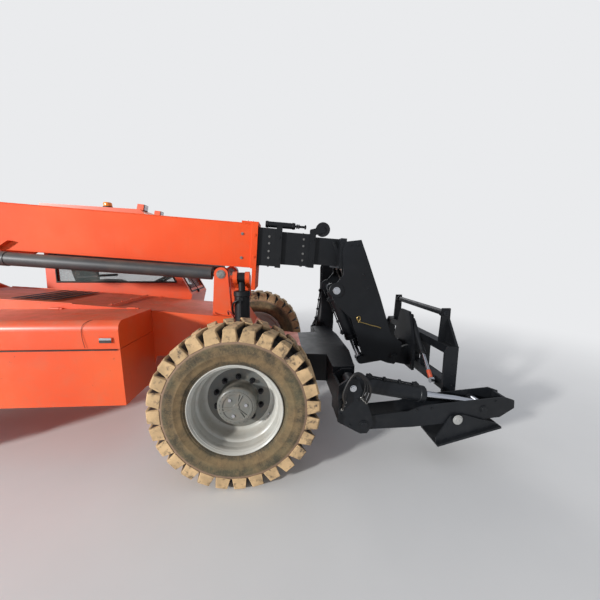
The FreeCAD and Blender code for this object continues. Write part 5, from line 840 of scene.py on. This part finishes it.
def chassis_details():
    # Levelling cylinder: gland, ports and short hoses
    shape = Shape()
    for profile in (((0.034, 1.452), (0.066, 1.452), (0.070, 1.449), (0.0775, 1.446), (0.0775, 1.408),
                     (0.0725, 1.402)),
                    ((0.034, 0.892), (0.066, 0.892), (0.0775, 0.897), (0.0775, 0.932), (0.0725, 0.938))):
        shape.lathe(profile, LEVELLER, Z, 44, first=X)
    x = LEVELLER[0]
    for port, pipe in ((1.375, 1.360), (0.965, 0.985)):
        shape.block(Vector((x, -0.579, port)), X * 0.020, Y * 0.014, Z * 0.022)
        shape.rod((x, -0.590, pipe), (x, -0.612, pipe), 0.0105, 6)
    shape.rod((x, -0.607, 0.985), (x, -0.607, 1.360), 0.0075, 12)
    shape.piece("levelling_fittings", "chassis", "black_paint", 0.001)
    hoses("levelling_hoses", "chassis", [
        [(0.985, -0.450, 1.215), (0.975, -0.500, 1.250), (0.990, -0.560, 1.330), (1.010, -0.592, 1.360),
         (1.045, -0.592, 1.372)]], 0.0095)
    hoses("levelling_red_hose", "chassis", [
        [(0.930, -0.4455, 1.215), (0.925, -0.470, 1.245), (0.940, -0.520, 1.265), (0.985, -0.545, 1.235),
         (1.000, -0.530, 1.190), (0.985, -0.4455, 1.165)]], 0.0075, "red_hose")

    # Deck: joint strips with their bolts, and thin dark strips painted as the shade inside vent slots
    shape = Shape()
    for x in (-0.20, 0.78):
        z = deck(x)
        shape.box((x - 0.016, -0.395, z + 0.0125), (x + 0.016, 0.395, z + 0.0165))
        for y in (-0.36, -0.18, 0.0, 0.18, 0.36):
            shape.nut((x, y, z + 0.0160), Z, 0.0085, 0.006)
    shape.piece("deck_joint_strips", "chassis", "body_paint", 0.0012)
    # Thin dark plates on the deck: painted shade that stands for the inside of the vent slots.
    shape = Shape()
    for row in range(5):
        x = -1.10 + 0.085 * row
        shape.box((x - 0.024, -0.34, deck(x) + 0.0105), (x + 0.024, 0.34, deck(x) + 0.0145))
    shape.piece("deck_slot_shade_strips", "chassis", "seal", 0.001)

    # Welds and pins of the lift lugs, and welds along the frame's top edges
    welds, pins = Shape(), Shape()
    for side in (-1, 1):
        for y, outward in ((0.243, -side), (0.357, side)):
            welds.weld((0.76, side * y, 1.212), (0.94, side * y, 1.196), 0.006)
            pin_head(pins, (0.8489, side * y, 1.600), outward, 0.034)
        welds.weld((-1.78, side * 0.419, 1.404), (-0.52, side * 0.419, 1.323), 0.005)
    welds.piece("frame_welds", "chassis", "body_paint", 0.0, 60)
    pins.piece("lift_base_pins", "chassis", "steel", 0.001)

    # Bolts of the axle covers and of the steering caps
    shape = Shape()
    for end, x in ENDS:
        for turn in turns(12):
            shape.nut((x + 0.152 * math.cos(turn), -0.1502, AXLE_Z + 0.130 * math.sin(turn)), -Y, 0.009, 0.009)
    shape.piece("axle_cover_bolts", "chassis", "nut_iron")
    for end, x in ENDS:
        for name, side in SIDES:
            caps = Shape()
            for z, up in ((0.7962, Z), (0.4838, -Z)):
                for turn in turns(4, 0.5):
                    caps.nut((x + 0.046 * math.cos(turn), side * (0.800 + 0.046 * math.sin(turn)), z), up, 0.0085, 0.008)
            caps.piece(f"kingpin_bolts_{end}_{name}", f"knuckle_{end}_{name}", "nut_iron")

    # Counterweight: rear lamps, lifting eyes and bolts
    for name, side in SIDES:
        lamp = Shape()
        y = side * 0.80
        lamp.box((-3.420, y - 0.075, 1.2305), (-3.320, y + 0.075, 1.3005))
        for mark, low, high in ((1, -0.068, 0.004), (2, 0.008, 0.068)):
            lamp.mark = mark
            lamp.box((-3.4275, y + low, 1.238), (-3.4195, y + high, 1.293))
        lamp.piece(f"rear_lamp_{name}", "chassis", ("dash_plastic", "red_lens", "amber"), 0.006, segments=3)
    shape = Shape()
    for y in (-0.45, 0.45):
        arch = [(-3.356, y + 0.045 * math.cos(turn), 1.235 + 0.055 * math.sin(turn)) for turn in turns(16)[:9]]
        for start, end in zip(arch, arch[1:]):
            shape.rod(start, end, 0.011, 14)
    for y in (-0.62, -0.31, 0.31, 0.62):
        shape.nut((-3.300, y, 1.2305), Z, 0.018, 0.016)
    shape.piece("counterweight_eyes", "chassis", "steel", 0.0006)

    # Tank: straps and cap
    shape = Shape()
    for x in (-1.22, -0.04):
        shape.box((x - 0.022, 0.4215, 0.8805), (x + 0.022, 1.02, 0.8840))
        shape.box((x - 0.022, 1.0305, 0.560), (x + 0.022, 1.0340, 0.830))
    shape.piece("tank_straps", "chassis", "steel", 0.001)
    cap = Shape()
    cap.lathe(((0.0, 0.052), (0.030, 0.052), (0.046, 0.048), (0.050, 0.040), (0.050, 0.014), (0.056, 0.010),
               (0.060, 0.0)), (-1.38, 0.90, 0.8805), Z, 24)
    cap.piece("tank_cap", "chassis", "dash_plastic", 0.001)


def cowl_details():
    # Latch, folded seam, screens behind the louvres, edge strip
    shape = Shape()
    shape.box((0.058, -1.0072, 1.1270), (0.148, -1.0042, 1.1450))
    shape.mark = 1
    shape.box((0.058, -1.0078, 1.1065), (0.148, -1.0042, 1.1262))
    shape.rod((0.103, -1.0040, 1.1160), (0.103, -1.0095, 1.1160), 0.0075, 20)
    shape.piece("hood_latch", "hood", ("mirror", "dash_plastic"), 0.0014)
    hoses("hood_seam", "hood", [
        [(-0.020, -0.936, 1.2725), (-0.045, -0.972, 1.2655), (-0.060, -0.996, 1.240), (-0.068, -1.0012, 1.200),
         (-0.064, -1.0012, 1.130), (-0.050, -1.0012, 1.066)]], 0.0016, "seal")
    for body, low, high, name in (("chassis", 0.690, 1.000, "cowl_screen"), ("hood", 1.098, 1.190, "hood_screen")):
        shape = Shape()
        for row in range(int((high - low) / 0.013)):
            z = low + 0.013 * row
            shape.rod((-1.525, -0.974, z), (-0.925, -0.974, z), 0.0016, 6)
        for column in range(47):
            x = -1.525 + 0.013 * column
            shape.rod((x, -0.971, low), (x, -0.971, high), 0.0016, 6)
        shape.piece(name, body, "nut_iron")
    shape = Shape()
    shape.box((-1.60, -0.9985, 1.0435), (0.18, -0.9905, 1.0520))
    shape.piece("cowl_edge_strip", "chassis", "seal", 0.002)

    # Engine: cover, manifold, filter, pulleys and pipes
    shape = Shape()
    shape.box((-1.10, -0.78, 1.1425), (-0.36, -0.62, 1.190))
    for step in range(6):
        for y in (-0.765, -0.635):
            shape.nut((-1.05 + 0.128 * step, y, 1.1900), Z, 0.010, 0.010)
    shape.rod((-0.52, -0.70, 1.188), (-0.52, -0.70, 1.214), 0.032, 24)
    shape.mark = 1
    shape.rod((-0.98, -0.555, 1.150), (-0.34, -0.555, 1.150), 0.042, 28)
    for step in range(4):
        x = -0.95 + 0.18 * step
        shape.rod((x, -0.555, 1.150), (x, -0.66, 1.150), 0.022, 16)
    shape.mark = 2
    shape.lathe(((0.0, -1.50), (0.075, -1.50), (0.082, -1.494), (0.082, -1.285), (0.060, -1.275), (0.036, -1.245),
                 (0.036, -1.215)), (0, -0.68, 1.150), X, 36, first=Y)
    for y, z, radius in ((-0.80, 1.02, 0.115), (-0.64, 0.86, 0.085)):
        shape.rod((-0.155, y, z), (-0.120, y, z), radius, 36)
    shape.piece("engine_top_parts", "chassis", ("engine_iron", "steel", "dash_plastic"), 0.003)
    hoses("engine_hoses", "chassis", [
        [(-1.215, -0.68, 1.150), (-1.17, -0.66, 1.160), (-1.12, -0.60, 1.185), (-1.02, -0.555, 1.165)],
        [(-0.36, -0.60, 1.150), (-0.24, -0.60, 1.165), (-0.12, -0.66, 1.140), (-0.04, -0.72, 1.050),
         (-0.02, -0.74, 0.90)]], 0.024)


def screen(share, y, lift):
    """A point on the windscreen: how far up it, across it, and lifted off its face."""
    run = Vector((-0.53, 0, 1.01)).normalized()
    return Vector((0.2989, y, 1.29)) + run * share + Vector((run.z, 0, -run.x)) * lift


def cab_details():
    # Rubber round the side window and the door's pane, with a thicker sleeve at each corner
    for name, body, y, radius, outline in (
            ("side_window_seal", "chassis", 0.4985, 0.011,
             ((0.1089, 1.455), (-0.2911, 2.170), (-1.3211, 2.225), (-1.3211, 1.455))),
            ("door_window_seal", "door", 1.2015, 0.010,
             ((0.1069, 1.360), (-0.3801, 2.153), (-1.2941, 2.238), (-1.3241, 1.360)))):
        shape = Shape()
        for start, end in pairs([Vector((x, y, z)) for x, z in outline]):
            sleeve = (end - start).normalized() * radius
            shape.rod(start, end, radius, 10)
            shape.rod(start - sleeve * 0.6, start + sleeve, radius * 1.04, 10)
        shape.piece(name, body, "seal", 0.0, 60)

    handle = Shape()
    handle.box((-0.085, 1.2005, 1.190), (0.035, 1.2065, 1.262))
    handle.mark = 1
    handle.rod((-0.070, 1.222, 1.240), (0.020, 1.222, 1.240), 0.0085, 16)
    for x in (-0.066, 0.016):
        handle.rod((x, 1.205, 1.240), (x, 1.222, 1.240), 0.0075, 12)
    handle.rod((-0.025, 1.205, 1.208), (-0.025, 1.2105, 1.208), 0.012, 20)
    handle.piece("door_handle", "door", ("dash_plastic", "steel"), 0.002)

    rail = Shape()
    rail.rod((0.158, 1.228, 1.02), (0.158, 1.228, 1.30), 0.0110, 18)
    for z in (1.032, 1.288):
        rail.rod((0.158, 1.200, z), (0.158, 1.229, z), 0.0100, 16)
        rail.rod((0.158, 1.1995, z), (0.158, 1.2030, z), 0.0200, 20)
    rail.piece("cab_grab_rail", "door", "black_paint", 0.001)

    shape = Shape()
    for start, end in pairs([screen(share, y, 0.001) for share, y in (
            (0.046, 0.560), (0.046, 1.140), (1.015, 1.140), (1.015, 0.560))]):
        shape.rod(start, end, 0.009, 10)
    shape.rod(screen(0.16, 0.665, 0.006), screen(0.68, 0.735, 0.006), 0.0055, 6)
    shape.mark = 1
    shape.rod(screen(0.022, 0.80, -0.004), screen(0.022, 0.80, 0.022), 0.016, 18)
    shape.rod(screen(0.022, 0.80, 0.018), screen(0.43, 0.70, 0.012), 0.0060, 8, 0.0045)
    shape.piece("windscreen_seal_and_wiper", "chassis", ("seal", "black_paint"))

    lens = Shape()
    up = Vector((0.014, 0, 0.076)).normalized()
    out = Vector((up.z, 0, -up.x))
    for y in (0.61, 1.09):
        for mark, lift, high, wide, deep in ((0, 0.002, 0.037, 0.053, 0.004), (1, 0.006, 0.029, 0.045, 0.003)):
            lens.mark = mark
            lens.block(Vector((-0.2571, y, 2.373)) + out * lift, up * high, Y * wide, out * deep)
    lens.piece("work_lamp_lenses", "chassis", ("dash_plastic", "clear_lens"), 0.003, segments=3)

    dome = Shape()
    beacon = (-0.7611, 0.7, 0)
    dome.lathe(((0.0462, 2.402), (0.0485, 2.404), (0.0492, 2.412), (0.0492, 2.440), (0.0480, 2.4465),
                (0.0462, 2.4490)), beacon, Z)
    dome.mark = 1
    dome.lathe(((0.0462, 2.372), (0.056, 2.374), (0.058, 2.382), (0.056, 2.400), (0.0462, 2.402)), beacon, Z)
    dome.piece("beacon_lens", "chassis", ("amber", "dash_plastic"), 0.0006)

    pane = Shape()
    pane.box((0.0968, 1.116, 1.828), (0.0990, 1.224, 1.992))
    pane.mark = 1
    pane.box((0.0975, 1.111, 1.822), (0.1130, 1.116, 1.998))
    pane.piece("mirror_glass", "chassis", ("mirror", "dash_plastic"), 0.001)


def cushion(name, size, centre, tilt, crown, channels, replaces=()):
    """An upholstered form: crowned top, edges drawn in, side bolsters and sewn channels across its face."""
    work = bmesh.new()
    bmesh.ops.create_cube(work, size=2.0)
    bmesh.ops.subdivide_edges(work, edges=work.edges[:], cuts=17, use_grid_fill=True)
    half = Vector(size) / 2
    for vertex in work.verts:
        x, y, z = vertex.co
        round_x = x * math.sqrt(max(0.0, 1 - 0.16 * y * y - 0.16 * z * z))
        round_y = y * math.sqrt(max(0.0, 1 - 0.16 * x * x - 0.20 * z * z))
        level = z * math.sqrt(max(0.0, 1 - 0.34 * x * x - 0.30 * y * y))
        if z > 0:
            level *= 1 + crown * (1 - x * x) * (1 - y * y)
        if z > 0.4:
            for where in channels:
                level -= 0.16 * math.exp(-((x - where) / 0.035) ** 2) * (1 - y ** 8)
        if abs(abs(y) - 0.60) < 0.5 and z > 0.3:
            level += 0.14 * max(0.0, 1 - ((abs(y) - 0.80) / 0.18) ** 2) * (1 - x ** 6)
            level -= 0.14 * math.exp(-((abs(y) - 0.60) / 0.03) ** 2) * (1 - x ** 8)
        vertex.co = Vector((round_x * half.x, round_y * half.y, level * half.z))
    mesh = bpy.data.meshes.new(name)
    work.to_mesh(mesh)
    work.free()
    for polygon in mesh.polygons:
        polygon.use_smooth = True
    mesh.materials.append(M["seat_vinyl"])
    thing = put(name, mesh, centre, (0, math.radians(tilt), 0))
    smooth = thing.modifiers.new("smooth", "SUBSURF")
    smooth.levels = smooth.render_levels = 1
    settle(thing, "chassis", replaces)


def seat_details():
    low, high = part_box("seat")
    x, y, z = low[0], (low[1] + high[1]) / 2, low[2]
    cushion("seat_cushion", (0.500, 0.440, 0.130), (x + 0.325, y, 1.385), -4, 0.28, (-0.35, 0.0, 0.35), ["seat"])
    cushion("seat_back", (0.560, 0.430, 0.120), (x + 0.095, y, 1.635), 80, 0.24, (-0.45, -0.1, 0.25))
    base = Shape()
    base.box((x + 0.11, y - 0.17, z), (x + 0.51, y + 0.17, z + 0.05))
    base.box((x + 0.09, y - 0.19, 1.275), (x + 0.54, y + 0.19, 1.318))
    for side in (-1, 1):
        outer = y + side * 0.212
        base.rod((x + 0.12, outer, 1.50), (x + 0.40, outer, 1.515), 0.017, 16)
        base.rod((x + 0.12, outer, 1.50), (x + 0.10, (outer + y) / 2, 1.46), 0.013, 12)
    base.mark = 1
    folds = []
    for step in range(9):
        wide = 0.150 if step % 2 else 0.172
        folds.append([Vector((x + 0.31 + wide * 1.1 * math.cos(a) * (1 if abs(math.cos(a)) < 0.75 else 0.93),
                              y + wide * math.sin(a), z + 0.05 + 0.0345 * step)) for a in turns(32)])
    base.loft(folds)
    base.piece("seat_base", "chassis", ("dash_plastic", "seal"), 0.006, 40)


def console_details():
    shape = Shape()
    for y in (0.70, 0.76):
        shape.rod((-0.36, y, 1.20), (-0.385, y, 1.33), 0.006, 10)
        shape.rod((-0.385, y, 1.325), (-0.392, y, 1.368), 0.013, 16, 0.017)
    shape.piece("console_levers", "chassis", "seal", 0.002)


build_stage()
build_wheels()
boom_details()
head_details()
carriage_details()
outrigger_details()
chassis_details()
cowl_details()
cab_details()
seat_details()
console_details()
